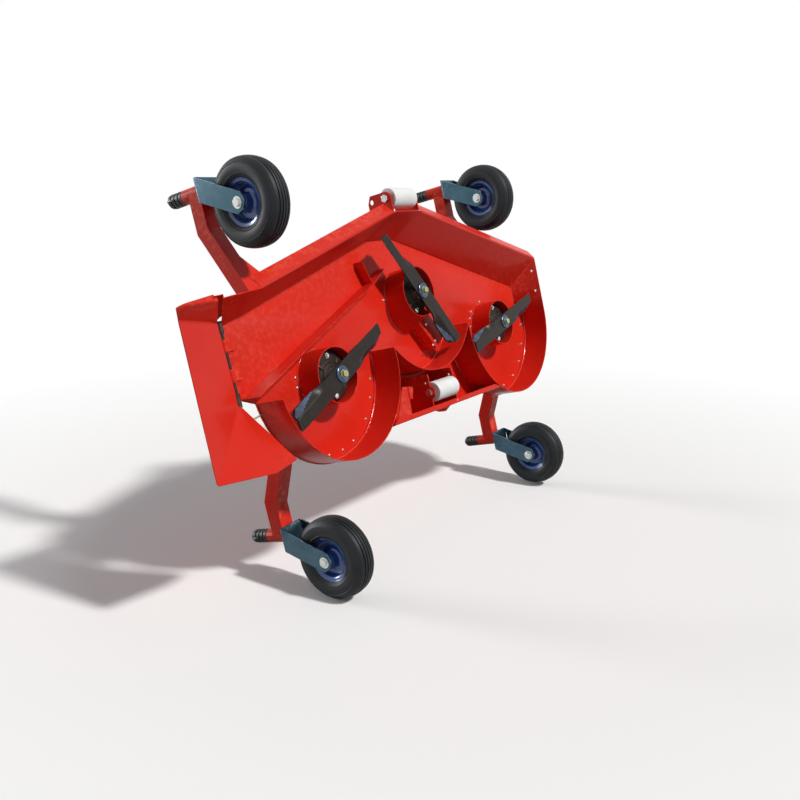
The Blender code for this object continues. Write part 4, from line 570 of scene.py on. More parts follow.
# %% Three rolled bands
CHAMBERS = {
    "right": (Vector((-0.500, 0.012)), 0.269),
    "centre": (Vector((-0.010, -0.194966)), 0.281),
    "left": (Vector((0.528, -0.030)), 0.300),
}
LEFT_WALL_X = 0.828
LEAN_X = 0.775
LEAN_START_Y = -0.085
LEFT_CORNER = ((LEFT_WALL_X, -0.2452), (LEAN_X, -0.1492))
BAND_TOP = PLATE_BOTTOM - 0.0003
SKIRT_TOP = PLATE_BOTTOM - 0.0014
HALF_UP = 0.1
ARC_OVERLAP = 0.014
ARC_STEP = math.radians(3)


def meeting(first, second):
    """The rear crossing of two chamber circles, as its bearing from each centre."""
    (near, near_radius), (far, far_radius) = CHAMBERS[first], CHAMBERS[second]
    span = far - near
    along = (near_radius**2 - far_radius**2 + span.length_squared) / (2 * span.length)
    aside = math.sqrt(near_radius**2 - along**2)
    way = span.normalized()
    point = near + way * along + Vector((-way.y, way.x)) * aside
    return [math.atan2(point.y - centre.y, point.x - centre.x) for centre in (near, far)]


RIGHT_END, CENTRE_START = meeting("right", "centre")
CENTRE_END, LEFT_START = meeting("centre", "left")
ARCS = {
    "right": (math.radians(173.5), RIGHT_END),
    "centre": (CENTRE_START - ARC_OVERLAP, CENTRE_END + ARC_OVERLAP),
    "left": (LEFT_START % math.tau, 0.0),
}


def rolled_band(name):
    centre, radius = CHAMBERS[name]
    start, end = ARCS[name]
    shape = bmesh.new()
    foot = centre + Vector((math.cos(start), math.sin(start))) * radius
    ends = [shape.verts.new((foot.x, foot.y, height)) for height in (SKIRT_BOTTOM, BAND_TOP)]
    upright = shape.edges.new(ends)
    spun_arc = bmesh.ops.spin(
        shape,
        geom=ends + [upright],
        cent=(centre.x, centre.y, 0.0),
        axis=(0, 0, 1),
        angle=end - start,
        steps=math.ceil(abs(end - start) / ARC_STEP),
    )
    if name == "left":
        carry_to_the_corner(shape, spun_arc["geom_last"])
    bmesh.ops.recalc_face_normals(shape, faces=shape.faces)
    as_sheet(shape, "rolled_band_" + name, stands_for=(name + "_band",), angle=34.0)


def carry_to_the_corner(shape, last):
    """Draws the left band straight forward to the skirt, where its upper edge leans inwards."""
    edge = [item for item in last if isinstance(item, bmesh.types.BMEdge)][0]
    for low, high in (((LEFT_WALL_X, LEAN_START_Y), (LEAN_X, LEAN_START_Y)), LEFT_CORNER):
        grown = bmesh.ops.extrude_edge_only(shape, edges=[edge])
        for vert in new_verts(grown):
            vert.co = (*low, SKIRT_BOTTOM) if vert.co.z < HALF_UP else (*high, SKIRT_TOP)
        edge = [item for item in grown["geom"] if isinstance(item, bmesh.types.BMEdge)][0]


for name in CHAMBERS:
    rolled_band(name)
print("bands:", {name: round(radius, 3) for name, (_, radius) in CHAMBERS.items()})

# %% [markdown]
# The skirt is one sheet that is folded along its bottom edge. The fold is drawn first, as a
# line of edges. Extruding it upwards gives the wall, and extruding its two long runs outwards
# gives the lip. The bend is then rounded, because a folded sheet never has a sharp crease.

# %% The front skirt
FOLD_APEX_Y = -0.483966
FOLD_SLOPE = 0.287
FOLD = [(-0.893, -0.2560, SKIRT_BOTTOM)]
FOLD += [(x, FOLD_APEX_Y + FOLD_SLOPE * abs(x), SKIRT_BOTTOM)
         for x in (-0.745, -0.080, -0.070, 0.070, 0.080, LEFT_WALL_X)]
TOP = [(-0.825, -0.191), (-0.745, -0.2122), (-0.1381, -0.3875), (-0.130, -0.3899)]
TOP += [(0.018, -0.3899), (0.0280, -0.3867), (LEAN_X, -0.1503)]
LIP_OUT = (0.00993, 0.03460)
LIP_RISE = 0.032
LIP_RUNS = (1, 5)


def soften_folds(shape, folds, radius, steps=4):
    bmesh.ops.bevel(
        shape,
        geom=folds,
        offset=radius,
        offset_type="OFFSET",
        segments=steps,
        profile=0.5,
        affect="EDGES",
        clamp_overlap=True,
        material=-1,
    )


def front_skirt():
    shape = bmesh.new()
    line = [shape.verts.new(point) for point in FOLD]
    runs = [shape.edges.new(pair) for pair in zip(line, line[1:])]
    bmesh.ops.extrude_edge_only(shape, edges=runs)
    shape.verts.ensure_lookup_table()
    for vert in shape.verts[len(FOLD):]:
        index = min(range(len(FOLD)), key=lambda i: (Vector(FOLD[i]) - vert.co).length)
        vert.co = (*TOP[index], SKIRT_TOP)
    lips = bmesh.ops.extrude_edge_only(shape, edges=[runs[index] for index in LIP_RUNS])
    for vert in new_verts(lips):
        side = math.copysign(1.0, vert.co.x)
        vert.co += Vector((side * LIP_OUT[0], -LIP_OUT[1], LIP_RISE))
    bmesh.ops.recalc_face_normals(shape, faces=shape.faces)
    soften_folds(shape, [edge for edge in runs if len(edge.link_faces) == 2], 0.006, 5)
    as_sheet(shape, "folded_skirt", stands_for=("front_skirt",))


front_skirt()
print("skirt:", len(FOLD), "stations")

# %% [markdown]
# The chute is a second folded sheet, on a hinge. Its roof, its rear wing and its front wall are
# facets that share their creases, and a small lip turns forward under the wall. A strip on the
# chute covers the gap beside the skirt's slanting end. It lies outside the skirt's own plane, so
# that it swings clear. The lugs on the deck and the knuckles on the chute are short tubes on one
# pin, each with a tongue that is welded to its own sheet. The pin and the chute's knuckles are
# dark brown: painted shade, standing for the shadow in the gap along the hinge.

# %% The discharge chute and its hinge
HINGE = Vector((-0.836, 0.0, 0.158))
CHUTE_KNUCKLES = (-0.186, 0.018)
DECK_LUGS = (-0.134, -0.050)
CHUTE_TONGUE = ((-0.004, 0.004), (-0.026, -0.006))
DECK_TONGUE = ((0.002, 0.006), (0.034, 0.006))
PIN_BORE = 0.0054
BARREL_RADIUS = 0.0080
BARREL_HALF = 0.018
TONGUE_HALF = 0.016
TONGUE_THICK = 0.004
CHUTE_POINTS = {
    "front_root": (-0.8464, -0.199, 0.1544),
    "rear_root": (-0.8464, 0.043, 0.1544),
    "rear_outer": (-1.031, 0.217, 0.091),
    "front_outer": (-1.0174, -0.216, 0.0957),
    "wing": (-0.824, 0.238, 0.091),
    "tip": (-0.736, 0.222, 0.091),
    "wall_low": (-0.903, -0.2535, 0.062),
    "wall_outer": (-1.031, -0.253, 0.0754),
    "lip_low": (-0.898, -0.2700, 0.083),
}
CHUTE_FACETS = (
    "front_root rear_root rear_outer front_outer",
    "rear_root tip wing",
    "rear_root wing rear_outer",
    "front_root front_outer wall_outer wall_low",
    "wall_low wall_outer lip_low",
)
TIP_ROUND = 0.012
COVER_OUTLINE = [(-0.912, -0.2635, 0.064), (-0.881, -0.2655, 0.063), (-0.853, -0.2471, 0.096)]
COVER_OUTLINE += [(-0.827, -0.2169, 0.148), (-0.832, -0.2034, 0.179), (-0.862, -0.2034, 0.177)]
COVER_SHEET = 0.0025


def add_plate(shape, corners, thickness):
    """A flat plate: its outline is filled, and the face is pushed out to a thickness."""
    face = shape.faces.new([shape.verts.new(corner) for corner in corners])
    face.normal_update()
    push = face.normal * thickness
    grown = bmesh.ops.extrude_face_region(shape, geom=[face])
    bmesh.ops.translate(shape, verts=new_verts(grown), vec=push)
    bmesh.ops.recalc_face_normals(shape, faces=shape.faces)


def discharge_chute():
    shape = bmesh.new()
    corner = {name: shape.verts.new(point) for name, point in CHUTE_POINTS.items()}
    for facet in CHUTE_FACETS:
        shape.faces.new([corner[name] for name in facet.split()])
    bmesh.ops.recalc_face_normals(shape, faces=shape.faces)
    soften_folds(shape, [edge for edge in shape.edges if len(edge.link_faces) == 2], 0.007, 4)
    tip = Vector(CHUTE_POINTS["wall_outer"])
    tips = [vert for vert in shape.verts if (vert.co - tip).length < 0.001]
    bmesh.ops.bevel(
        shape,
        geom=tips,
        offset=TIP_ROUND,
        segments=5,
        profile=0.5,
        affect="VERTICES",
        material=-1,
    )
    as_sheet(shape, "folded_chute", "chute", ("discharge_chute",))
    cover = bmesh.new()
    add_plate(cover, COVER_OUTLINE, COVER_SHEET)
    round_off(settle(cover, "gap_cover", "chute", RED), 0.0008)


def barrel(name, y, body, tongue, material):
    """A short tube on the hinge pin and the tongue that welds it to its sheet."""
    profile = [(PIN_BORE, BARREL_HALF), (BARREL_RADIUS, BARREL_HALF)]
    profile += [(BARREL_RADIUS, -BARREL_HALF), (PIN_BORE, -BARREL_HALF)]
    shape = spun(profile, HINGE + Vector((0, y, 0)), (0, 1, 0), 32, closed=True)
    root, end = tongue
    around = [(*root, -1), (*root, 1), (*end, 1), (*end, -1)]
    corners = [(HINGE.x + x, y + side * TONGUE_HALF, HINGE.z + z) for x, z, side in around]
    add_plate(shape, corners, TONGUE_THICK)
    round_off(settle(shape, name, body, material), 0.0006)


discharge_chute()
for index, y in enumerate(CHUTE_KNUCKLES):
    barrel(f"chute_knuckle_{index}", y, "chute", CHUTE_TONGUE, HINGE_SHADE)
for index, y in enumerate(DECK_LUGS):
    barrel(f"deck_lug_{index}", y, "deck", DECK_TONGUE, RED)
rounded_copy("chute_hinge_pin", HINGE_SHADE, 0.0006)
print("hinge:", len(CHUTE_KNUCKLES) + len(DECK_LUGS), "barrels")

# %% [markdown]
# Under the plate, beside the centre guard, sits a sloping channel box, held by four bolts. Its
# three walls are one strip that is folded twice.

# %% The channel box
CHANNEL_YAW = math.radians(54.2)
CHANNEL_WAY = Vector((math.cos(CHANNEL_YAW), math.sin(CHANNEL_YAW), 0.0))
CHANNEL_ASIDE = Vector((CHANNEL_WAY.y, -CHANNEL_WAY.x, 0.0))
CHANNEL_START = Vector((-0.002, -0.097, 0.0))
CHANNEL_LENGTH = 0.142
CHANNEL_WIDTH = 0.075
CHANNEL_BOTTOM = 0.115


def channel_box():
    shape = bmesh.new()
    section = [(0.0, PLATE_BOTTOM), (0.0, CHANNEL_BOTTOM)]
    section += [(CHANNEL_WIDTH, CHANNEL_BOTTOM), (CHANNEL_WIDTH, PLATE_BOTTOM)]
    line = [shape.verts.new(CHANNEL_START + CHANNEL_ASIDE * across + Vector((0, 0, z)))
            for across, z in section]
    strip = [shape.edges.new(pair) for pair in zip(line, line[1:])]
    far = new_verts(bmesh.ops.extrude_edge_only(shape, edges=strip))
    bmesh.ops.translate(shape, verts=far, vec=CHANNEL_WAY * CHANNEL_LENGTH)
    bmesh.ops.recalc_face_normals(shape, faces=shape.faces)
    soften_folds(shape, [edge for edge in shape.edges if len(edge.link_faces) == 2], 0.005, 4)
    as_sheet(shape, "channel_box")


channel_box()
print("channel box:", CHANNEL_LENGTH, "by", CHANNEL_WIDTH, "m")

# %% [markdown]
# ## The rest of the shell
# These sheets are plain in themselves. A copy of each solid gets its edges eased by a Bevel
# modifier, which is what makes a thin bright line of light run along a cut edge.

# %% Baffle, bracket, covers and hitch brackets
for node in ("discharge_baffle", "front_roller_bracket"):
    rounded_copy(node, RED, 0.0010)
for side in ("left", "right"):
    rounded_copy("belt_cover_" + side, RED, 0.0045, 3)
    rounded_copy("hitch_bracket_" + side, RED, 0.0015)

# %% [markdown]
# The rear flange is one folded sheet. Its lip is drawn in to the width that the photograph
# shows, by moving the points of its free edge, and its fold is then rounded. At the outlet a
# small shelf and its tab are welded between the right band and the lip, and a yellow strap
# holds the band's other end.

# %% The rear flange and the shelf beside it
FLANGE_WALL_Y = 0.222
LIP_FROM_Y = 0.192
LIP_TO_Y = 0.205
LIP_NEAR = 0.0008
FOLD_NEAR = 0.004
LONG_EDGE = 0.1
SHELF_Y = LIP_TO_Y + 0.004
SHELF = [(-0.236, 0.110), (-0.206, 0.114), (-0.214, SHELF_Y), (-0.290, SHELF_Y)]
TAB = [(-0.208, 0.113), (-0.183, 0.120), (-0.196, 0.158), (-0.211, 0.154)]
SHELF_HEIGHT = 0.0575
TAB_HEIGHT = 0.0545
STRAP = [(-0.757, 0.072, 0.150), (-0.799, 0.080, 0.150), (-0.799, 0.080, 0.163)]
STRAP += [(-0.757, 0.072, 0.163)]
STRAP_THICK = 0.0025


def rear_flange():
    shape = merged("rear_flange")
    for vert in shape.verts:
        if abs(vert.co.y - LIP_FROM_Y) < LIP_NEAR and vert.co.z < SKIRT_BOTTOM + 2 * SHEET:
            vert.co.y = LIP_TO_Y
    wall_y = FLANGE_WALL_Y - FOLD_NEAR
    bend_z = SKIRT_BOTTOM + FOLD_NEAR
    creases = [edge for edge in shape.edges if edge.calc_length() > LONG_EDGE
               and all(vert.co.y > wall_y and vert.co.z < bend_z for vert in edge.verts)]
    soften_folds(shape, creases, 0.0045, 4)
    round_off(stand_in(shape, "folded_rear_flange", "rear_flange", RED), 0.0008, angle=38.0)
    return len(creases)


def outlet_shelf():
    shape = bmesh.new()
    for outline, height in ((SHELF, SHELF_HEIGHT), (TAB, TAB_HEIGHT)):
        add_plate(shape, [(x, y, height) for x, y in outline], SHEET)
    round_off(settle(shape, "outlet_shelf", "deck", RED), 0.0008)
    strap = bmesh.new()
    add_plate(strap, STRAP, STRAP_THICK)
    small_part(strap, "outlet_strap", "deck", YELLOW_ZINC)


print("flange folds:", rear_flange())
outlet_shelf()

# %% [markdown]
# ## Welds and small bolts
# The seam between each band and the plate is filled with a smooth bead. It is the glossiest
# thing in the photograph: the sun draws a white line along it. Beside it runs a ring of small
# bolts, and a few more stand round the guards and on the channel box. A bead's middle lies a
# little off the sheet that it joins, and a band's beads stop short of its ends.

# %% Weld beads
BAND_BEADS = ((-0.0030, 0.0026, 0.0036), (0.0028, 0.0012, 0.0026))
BEAD_FROM = 0.03
BEAD_TO = 0.02
GUARD_BEAD = (0.0022, 0.0008, 0.0024)
CHANNEL_BEAD = (0.0024, 0.0010, 0.0022)
SEAM_TOP = PLATE_BOTTOM - 0.003
LEAN_SEAM = [(LEFT_WALL_X - 0.003, -0.03, PLATE_BOTTOM - 0.002), (0.778, LEAN_START_Y, SEAM_TOP)]
CORNER_SEAM = [(LEFT_WALL_X - 0.002, -0.2445, 0.057), (0.8015, -0.1970, 0.110)]
CORNER_SEAM += [(0.774, -0.1488, SEAM_TOP)]


def weld_beads():
    """Beads given as their distance from the sheet, their drop below the plate and a radius."""
    shape = bmesh.new()
    for name, (centre, radius) in CHAMBERS.items():
        low, high = sorted(ARCS[name])
        for aside, drop, bead in BAND_BEADS:
            path = arc_points(centre, radius + aside, low + BEAD_FROM, high - BEAD_TO,
                              PLATE_BOTTOM - drop)
            add_bead(shape, path, bead)
    aside, drop, bead = GUARD_BEAD
    for side, spindle in SPINDLES.items():
        stretch = GUARD_STRETCH[side]
        ring = arc_points(spindle, GUARD_RADIUS + aside, 0.0, math.tau, PLATE_BOTTOM - drop)
        add_bead(shape, [(x, y + (stretch if y > spindle.y else 0.0), z) for x, y, z in ring], bead)
    add_bead(shape, LEAN_SEAM, 0.0030)
    add_bead(shape, CORNER_SEAM, 0.0032)
    aside, drop, bead = CHANNEL_BEAD
    for across in (-aside, CHANNEL_WIDTH + aside):
        near = CHANNEL_START + CHANNEL_ASIDE * across + Vector((0, 0, PLATE_BOTTOM - drop))
        add_bead(shape, [near, near + CHANNEL_WAY * CHANNEL_LENGTH], bead)
    settle(shape, "shell_welds", "deck", WELD)


weld_beads()
print("welds along", len(CHAMBERS), "bands and", len(SPINDLES), "guards")

# %% [markdown]
# The bolts stand in rings, so each ring is one line of a table: its centre, its radius, the
# size of its bolts and the bearings at which they show in the photograph.

# %% Small bolts under the plate
DOWN_WAY = (0, 0, -1)
BOLT_RINGS = (
    (CHAMBERS["right"][0], 0.247, 0.0050, (12, 27, 45, 68, 82, 97)),
    (CHAMBERS["left"][0], 0.274, 0.0050, (10, 28, 46, 64, 83)),
    (SPINDLES["right"], 0.0965, 0.0052, (-128, -169, 173)),
    (SPINDLES["left"], 0.0965, 0.0052, (-88, -138, -156, -176)),
    (SPINDLES["centre"], 0.0975, 0.0052, (-60, -12, 176)),
)
CHANNEL_BOLTS = ((0.044, -0.073), (0.078, -0.009), (0.060, 0.004), (0.112, -0.040))
WALL_BOLTS_Y = (-0.196, -0.112)
WALL_BOLT_WAY = (-1, 0, -0.45)
RIB_BOLTS = ((0.0548, 0.119, 0.072, 0.0075), (-0.0912, 0.123, 0.072, 0.0050))
LIP_BOLT = (0.055, 0.213, 0.0552)


def on_ring(centre, radius, degrees, height):
    angle = math.radians(degrees)
    return (centre[0] + radius * math.cos(angle), centre[1] + radius * math.sin(angle), height)


def shell_bolts():
    shape = bmesh.new()
    for centre, radius, size, bearings in BOLT_RINGS:
        for degrees in bearings:
            add_dome_bolt(shape, on_ring(centre, radius, degrees, PLATE_BOTTOM), DOWN_WAY, size)
    for x, y in CHANNEL_BOLTS:
        add_dome_bolt(shape, (x, y, CHANNEL_BOTTOM - SHEET / 2), DOWN_WAY, 0.0050)
    for y in WALL_BOLTS_Y:
        add_dome_bolt(shape, (LEFT_WALL_X - 0.0105, y, 0.076), WALL_BOLT_WAY, 0.0060)
    for *at, size in RIB_BOLTS:
        add_dome_bolt(shape, at, (-1, 0, 0), size)
    add_dome_bolt(shape, LIP_BOLT, DOWN_WAY, 0.0035)
    small_part(shape, "shell_bolts", "deck")


shell_bolts()
print("bolts in rings:", sum(len(bearings) for *_, bearings in BOLT_RINGS))

# %% [markdown]
# ## Spindles
# Inside each guard a dark casting fills the ring like a lid. Its dark brown is partly the iron's
# own colour and partly painted shade for the deep inside of the guard. It is bolted up with four
# bolts, and the one to the rear catches the sun. Below it the shaft carries the blade, a blued
# washer and a yellow bolt.

# %% Spindle housings
LID_HEIGHT = 0.1080
LID_BOLT_RING = 0.0635
RIB_HALF = 0.003
RIB_SIDE = ((0.040, 0.1010), (0.072, LID_HEIGHT), (0.072, 0.1120), (0.040, 0.1120))
BOSS = [(0.0130, 0.098), (0.0340, 0.098), (0.0400, 0.101), (0.0420, 0.105), (0.0480, 0.1075)]
LID = [(0.0740, 0.1085), (0.0790, 0.1110), (0.0800, 0.1160), (0.0790, 0.1300), (0.0740, 0.1400)]
CASTING_TOP = [(0.0740, 0.1647), (0.0420, 0.1647), (0.0420, 0.2056), (0.0336, 0.2140)]
CASTING_TOP += [(0.0130, 0.2140)]


def housing(side):
    """A turned casting: a boss, a lid that nearly fills the guard, and a barrel over the plate."""
    spindle = SPINDLES[side]
    shape = spun(eased(BOSS + LID + CASTING_TOP, 0.003), spindle, steps=72, closed=True)
    for degrees in range(45, 405, 90):
        rib = Matrix.Translation(spindle) @ Matrix.Rotation(math.radians(degrees), 4, "Z")
        add_plate(shape, [rib @ Vector((x, -RIB_HALF, z)) for x, z in RIB_SIDE], 2 * RIB_HALF)
    stand_in(shape, "cast_housing_and_shade_" + side, "spindle_housing_" + side, CASTING_AND_SHADE, 30.0)
    bolts = bmesh.new()
    seats = [on_ring(spindle, LID_BOLT_RING, degrees, LID_HEIGHT) for degrees in (0, 180, 270, 90)]
    for seat in seats[:3]:
        add_hex_bolt(bolts, seat, DOWN_WAY, 0.0058, 0.0088)
    add_dome_bolt(bolts, seats[3], DOWN_WAY, 0.0105)
    small_part(bolts, "housing_bolts_" + side, "deck")


# %% [markdown]
# The shaft, its washer and its bolt turn with the blade, so they ride on the spindle's body and
# not on the deck. The washer is dished and the bolt's head has a collar, a hexagon and a
# chamfer.

# %% Shafts, washers and blade bolts
SHAFT_RADIUS = 0.0125
SHAFT_LOW = [(0.0240, 0.0990), (0.0250, 0.0980), (0.0250, 0.0700), (0.0235, 0.0684)]
SHAFT_LOW += [(SHAFT_RADIUS, 0.0684), (SHAFT_RADIUS, 0.0600), (0.0, 0.0600)]
DISH = [(0.0080, 0.0616), (0.0250, 0.0616), (0.0262, 0.0606), (0.0262, 0.0590)]
DISH += [(0.0250, 0.0580), (0.0180, 0.0566), (0.0080, 0.0566)]
BLADE_BOLT_SEAT = 0.0567
BOLT_TURN = 0.4


def shaft(side):
    node = "spindle_shaft_" + side
    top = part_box(node)[1].z
    spindle = SPINDLES[side]
    body = body_of(node)
    profile = [(0.0, top), (0.0115, top), (SHAFT_RADIUS, top - 0.0010), (SHAFT_RADIUS, 0.0995)]
    shape = spun(profile + SHAFT_LOW, spindle, steps=48)
    stand_in(shape, "turned_shaft_" + side, node, SHAFT_STEEL, 30.0)
    washer = spun(DISH, spindle, steps=56, closed=True)
    small_part(washer, "blade_washer_" + side, body, WASHER_BLUE, 30.0)
    bolt = bmesh.new()
    seat = spindle + Vector((0, 0, BLADE_BOLT_SEAT))
    add_cone(bolt, 0.0135, 0.0022, seat, DOWN_WAY, 40)
    add_cone(bolt, 0.0118, 0.0075, seat + Vector((0, 0, -0.0022)), DOWN_WAY, 6, turn=BOLT_TURN)
    add_cone(bolt, 0.0118, 0.0016, seat + Vector((0, 0, -0.0097)), DOWN_WAY, 6, 0.0100, BOLT_TURN)
    round_off(small_part(bolt, "blade_bolt_" + side, body, YELLOW_ZINC, 25.0), 0.0005)


for side in SPINDLES:
    housing(side)
    shaft(side)

# %% [markdown]
# ## Caster arms and forks
# An arm is a kinked square tube with rounded corners. A fork is one flat bar bent twice, so it
# is drawn as a sheet: the outline of a leg, a bridge pulled out of its upper edge, and the same
# leg on the other side. The two bends are rounded, each leg is filled again round the hole for
# its axle, and a Solidify modifier gives the bar its 6 mm.

# %% Arms
for corner in CORNERS:
    rounded_copy("arm_" + corner, RED, 0.0040, 3)
print("arms:", len(CORNERS))

# %% Forks bent from flat bar
FORK_TOP = 0.292
FORK_PLATE = 0.006
LEG_MIDDLE = 0.0495
LEG_WIDTH = 0.065
LEG_END = 0.025
LEG_CORNER = 0.020
BRIDGE_BACK = 0.002
BEND_RADIUS = 0.010
AXLE_HOLE = 0.0084
UPRIGHT_RADIUS = 0.0125


def leg_outline(trail, axle_height):
    """A leg from the side, as (y, z) about its pivot: from the bridge down round the axle."""
    top = Vector((BRIDGE_BACK, FORK_TOP - FORK_PLATE))
    hole = Vector((trail, axle_height))
    way = (hole - top).normalized()
    across = Vector((-way.y, way.x)) * LEG_WIDTH / 2
    shoulder = way * (LEG_END - LEG_CORNER)
    narrow = across * (1 - LEG_CORNER / (LEG_WIDTH / 2))
    level = FORK_TOP - FORK_PLATE / 2
    sides = [hole + across, hole - across]
    tops = [point + way * ((level - point.y) / way.y) for point in sides]
    end = hole + way * LEG_END
    return [tops[0], sides[0] + shoulder, end + narrow, end - narrow, sides[1] + shoulder, tops[1]]


def bore_leg(shape, face, hub):
    """Fills a leg again round the hole for its axle."""
    outline = face.edges[:]
    middle_of_hole = Matrix.Translation((face.calc_center_median().x, hub.y, hub.z))
    spot = middle_of_hole @ Matrix.Rotation(math.pi / 2, 4, "Y")
    bmesh.ops.delete(shape, geom=[face], context="FACES_ONLY")
    ring = bmesh.ops.create_circle(shape, segments=24, radius=AXLE_HOLE, matrix=spot)["verts"]
    hole = list(dict.fromkeys(edge for vert in ring for edge in vert.link_edges))
    bmesh.ops.triangle_fill(
        shape,
        edges=outline + hole,
        use_beauty=True,
        use_dissolve=False,
        normal=(1, 0, 0),
    )


def bent_fork(corner):
    node = "caster_fork_" + corner
    pivot, hub = PIVOTS[corner], WHEELS[corner]
    across = Vector((2 * LEG_MIDDLE, 0, 0))
    shape = bmesh.new()
    outline = leg_outline(hub.y - pivot.y, hub.z)
    near = [shape.verts.new((pivot.x - LEG_MIDDLE, pivot.y + y, z)) for y, z in outline]
    shape.faces.new(near)
    top_edge = shape.edges.get((near[0], near[-1]))
    over = new_verts(bmesh.ops.extrude_edge_only(shape, edges=[top_edge]))
    bmesh.ops.translate(shape, verts=over, vec=across)
    over.sort(key=lambda vert: abs(vert.co.y - near[0].co.y))
    lower = [shape.verts.new(vert.co + across) for vert in near[1:-1]]
    shape.faces.new([over[0]] + lower + [over[1]])
    bends = [edge for edge in shape.edges if len(edge.link_faces) == 2]
    soften_folds(shape, bends, BEND_RADIUS, 6)
    for face in [face for face in shape.faces if len(face.verts) > 4]:
        bore_leg(shape, face, hub)
    bmesh.ops.recalc_face_normals(shape, faces=shape.faces)
    piece = stand_in(shape, "bent_fork_" + corner, node, ZINC, 32.0)
    sheet_metal(piece, FORK_PLATE)
    round_off(piece, 0.0009, angle=40.0)
    foot = FORK_TOP - 0.005
    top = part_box(node)[1].z
    rod = [(0.0, foot), (UPRIGHT_RADIUS, foot), (UPRIGHT_RADIUS, top - 0.0012), (0.0112, top)]
    upright = spun(rod + [(0.0, top)], pivot, steps=40)
    settle(upright, "fork_upright_" + corner, body_of(node), ZINC, (), 30.0)


for corner in CORNERS:
    bent_fork(corner)
print("forks:", len(CORNERS), "with legs", LEG_WIDTH, "m wide")

# %% [markdown]
# The height spacers are a stack of moulded black rings round the upright of the fork, kept in
# place by a bent wire clip. Each ring is drafted, so the stack looks grooved.

# %% Height spacers and their clips
SPACER_TOP = 0.4546
SPACER_HEIGHT = 0.016
SPACER_BORE = 0.0130
SPACER_SIDE = ((0.0196, 0.0003), (0.0208, 0.0016), (0.0224, 0.0142), (0.0216, 0.0157),
               (0.0196, 0.0160))
CLIP = ((0.0125, 0.0012), (0.0160, 0.0014), (0.0205, 0.0010), (0.0236, -0.0020), (0.0247, -0.0080))
CLIP += ((0.0247, -0.0200), (0.0240, -0.0290))
CLIP_WIRE = 0.0016


def spacers(corner):
    node = "height_spacers_" + corner
    pivot = PIVOTS[corner]
    profile = [(SPACER_BORE, SPACER_TOP)]
    for index in range(4):
        high = SPACER_TOP - index * SPACER_HEIGHT
        profile += [(radius, high - drop) for radius, drop in SPACER_SIDE]
    profile.append((SPACER_BORE, profile[-1][1]))
    shape = spun(profile, pivot, steps=48, closed=True)
    stand_in(shape, "spacer_stack_" + corner, node, BLACK, 28.0)
    side = math.copysign(1.0, pivot.x)
    clip = bmesh.new()
    add_bead(clip, [pivot + Vector((side * x, 0, SPACER_TOP + z)) for x, z in CLIP], CLIP_WIRE)
    small_part(clip, "wire_clip_" + corner, body_of(node), ZINC)


for corner in CORNERS:
    spacers(corner)
print("spacers:", len(CORNERS), "stacks with their tops at", SPACER_TOP, "m")

# %% [markdown]
# A plated ring caps the hub at either end and turns with the wheel, while the axle bolt and its
# two washers stay with the fork.

# %% Axles, washers and hub rings
WASHER_RADIUS = 0.0175
WASHER_THICK = 0.0016
WASHER_AT = 0.0526
HUB_RING = [(0.0164, 0.0370), (0.0194, 0.0370), (0.0200, 0.0376), (0.0200, 0.0442)]
HUB_RING += [(0.0190, 0.0452), (0.0164, 0.0452)]


def axle(corner):
    node = "wheel_axle_" + corner
    rounded_copy(node, BRIGHT, 0.0010)
    hub = WHEELS[corner]
    shape = bmesh.new()
    for side in (-1, 1):
        way = Vector((side, 0, 0))
        add_cone(shape, WASHER_RADIUS, WASHER_THICK, hub + way * WASHER_AT, way, 32)
    small_part(shape, "axle_washers_" + corner, body_of(node))
    for side, name in ((-1, "right"), (1, "left")):
        profile = [(radius, side * across) for radius, across in HUB_RING]
        ring = spun(profile, hub, (1, 0, 0), 40, closed=True)
        small_part(ring, f"hub_ring_{corner}_{name}", "wheel_" + corner)


for corner in CORNERS:
    axle(corner)
for end in ("front", "rear"):
    rounded_copy(end + "_roller_axle", BRIGHT, 0.0012)
print("hub rings:", 2 * len(CORNERS), "of", 2 * HUB_RING[2][0], "m")

# %% [markdown]
# ## The top side
# The photograph doesn't show the top, but the machine has one: a gearbox on a stand, a belt
# over three pulleys and an idler, and covers over the two outer pulleys. The gearbox gets a
# lid and cast ribs, and whatever is bolted down gets its bolts.

# %% Gearbox, pulleys and belt
rounded_copy("gearbox", GEARCASE, 0.0022, 3)
rounded_copy("idler_bracket", CASTING_AND_SHADE, 0.0010)
rounded_copy("drive_belt", BELT, 0.0008)
rounded_copy("input_shaft", SHAFT_STEEL, 0.0008)
PULLEY_HEIGHT = 0.240
UP_WAY = (0, 0, 1)
PULLEY_HUB = [(0.0130, 0.0100), (0.0225, 0.0100), (0.0240, 0.0085), (0.0240, 0.0045)]
PULLEY_RIM = [(0.0580, 0.0045), (0.0610, 0.0090), (0.0620, 0.0100), (0.0754, 0.0100),
              (0.0760, 0.0094)]
PULLEY_GROOVE = [(0.0760, 0.0083), (0.0630, 0.0063)]


def pulley(side):
    """A turned pulley: hub, dished web, rim and groove for the belt, alike on both faces."""
    node = "spindle_pulley_" + side
    half = PULLEY_HUB + PULLEY_RIM + PULLEY_GROOVE
    profile = half + [(radius, -height) for radius, height in half[::-1]]
    at = SPINDLES[side] + Vector((0, 0, PULLEY_HEIGHT))
    stand_in(spun(profile, at, steps=72, closed=True), "turned_" + node, node, PULLEY_STEEL, 30.0)
    washer = bmesh.new()
    add_cone(washer, 0.0165, WASHER_THICK, at + Vector((0, 0, 0.0101)), UP_WAY, 32)
    small_part(washer, "washer_" + node, body_of(node))


for side in SPINDLES:
    pulley(side)
rounded_copy("idler_pulley", PULLEY_STEEL, 0.0010)
print("pulleys:", len(SPINDLES), "of", 2 * PULLEY_RIM[-1][0], "m and an idler")

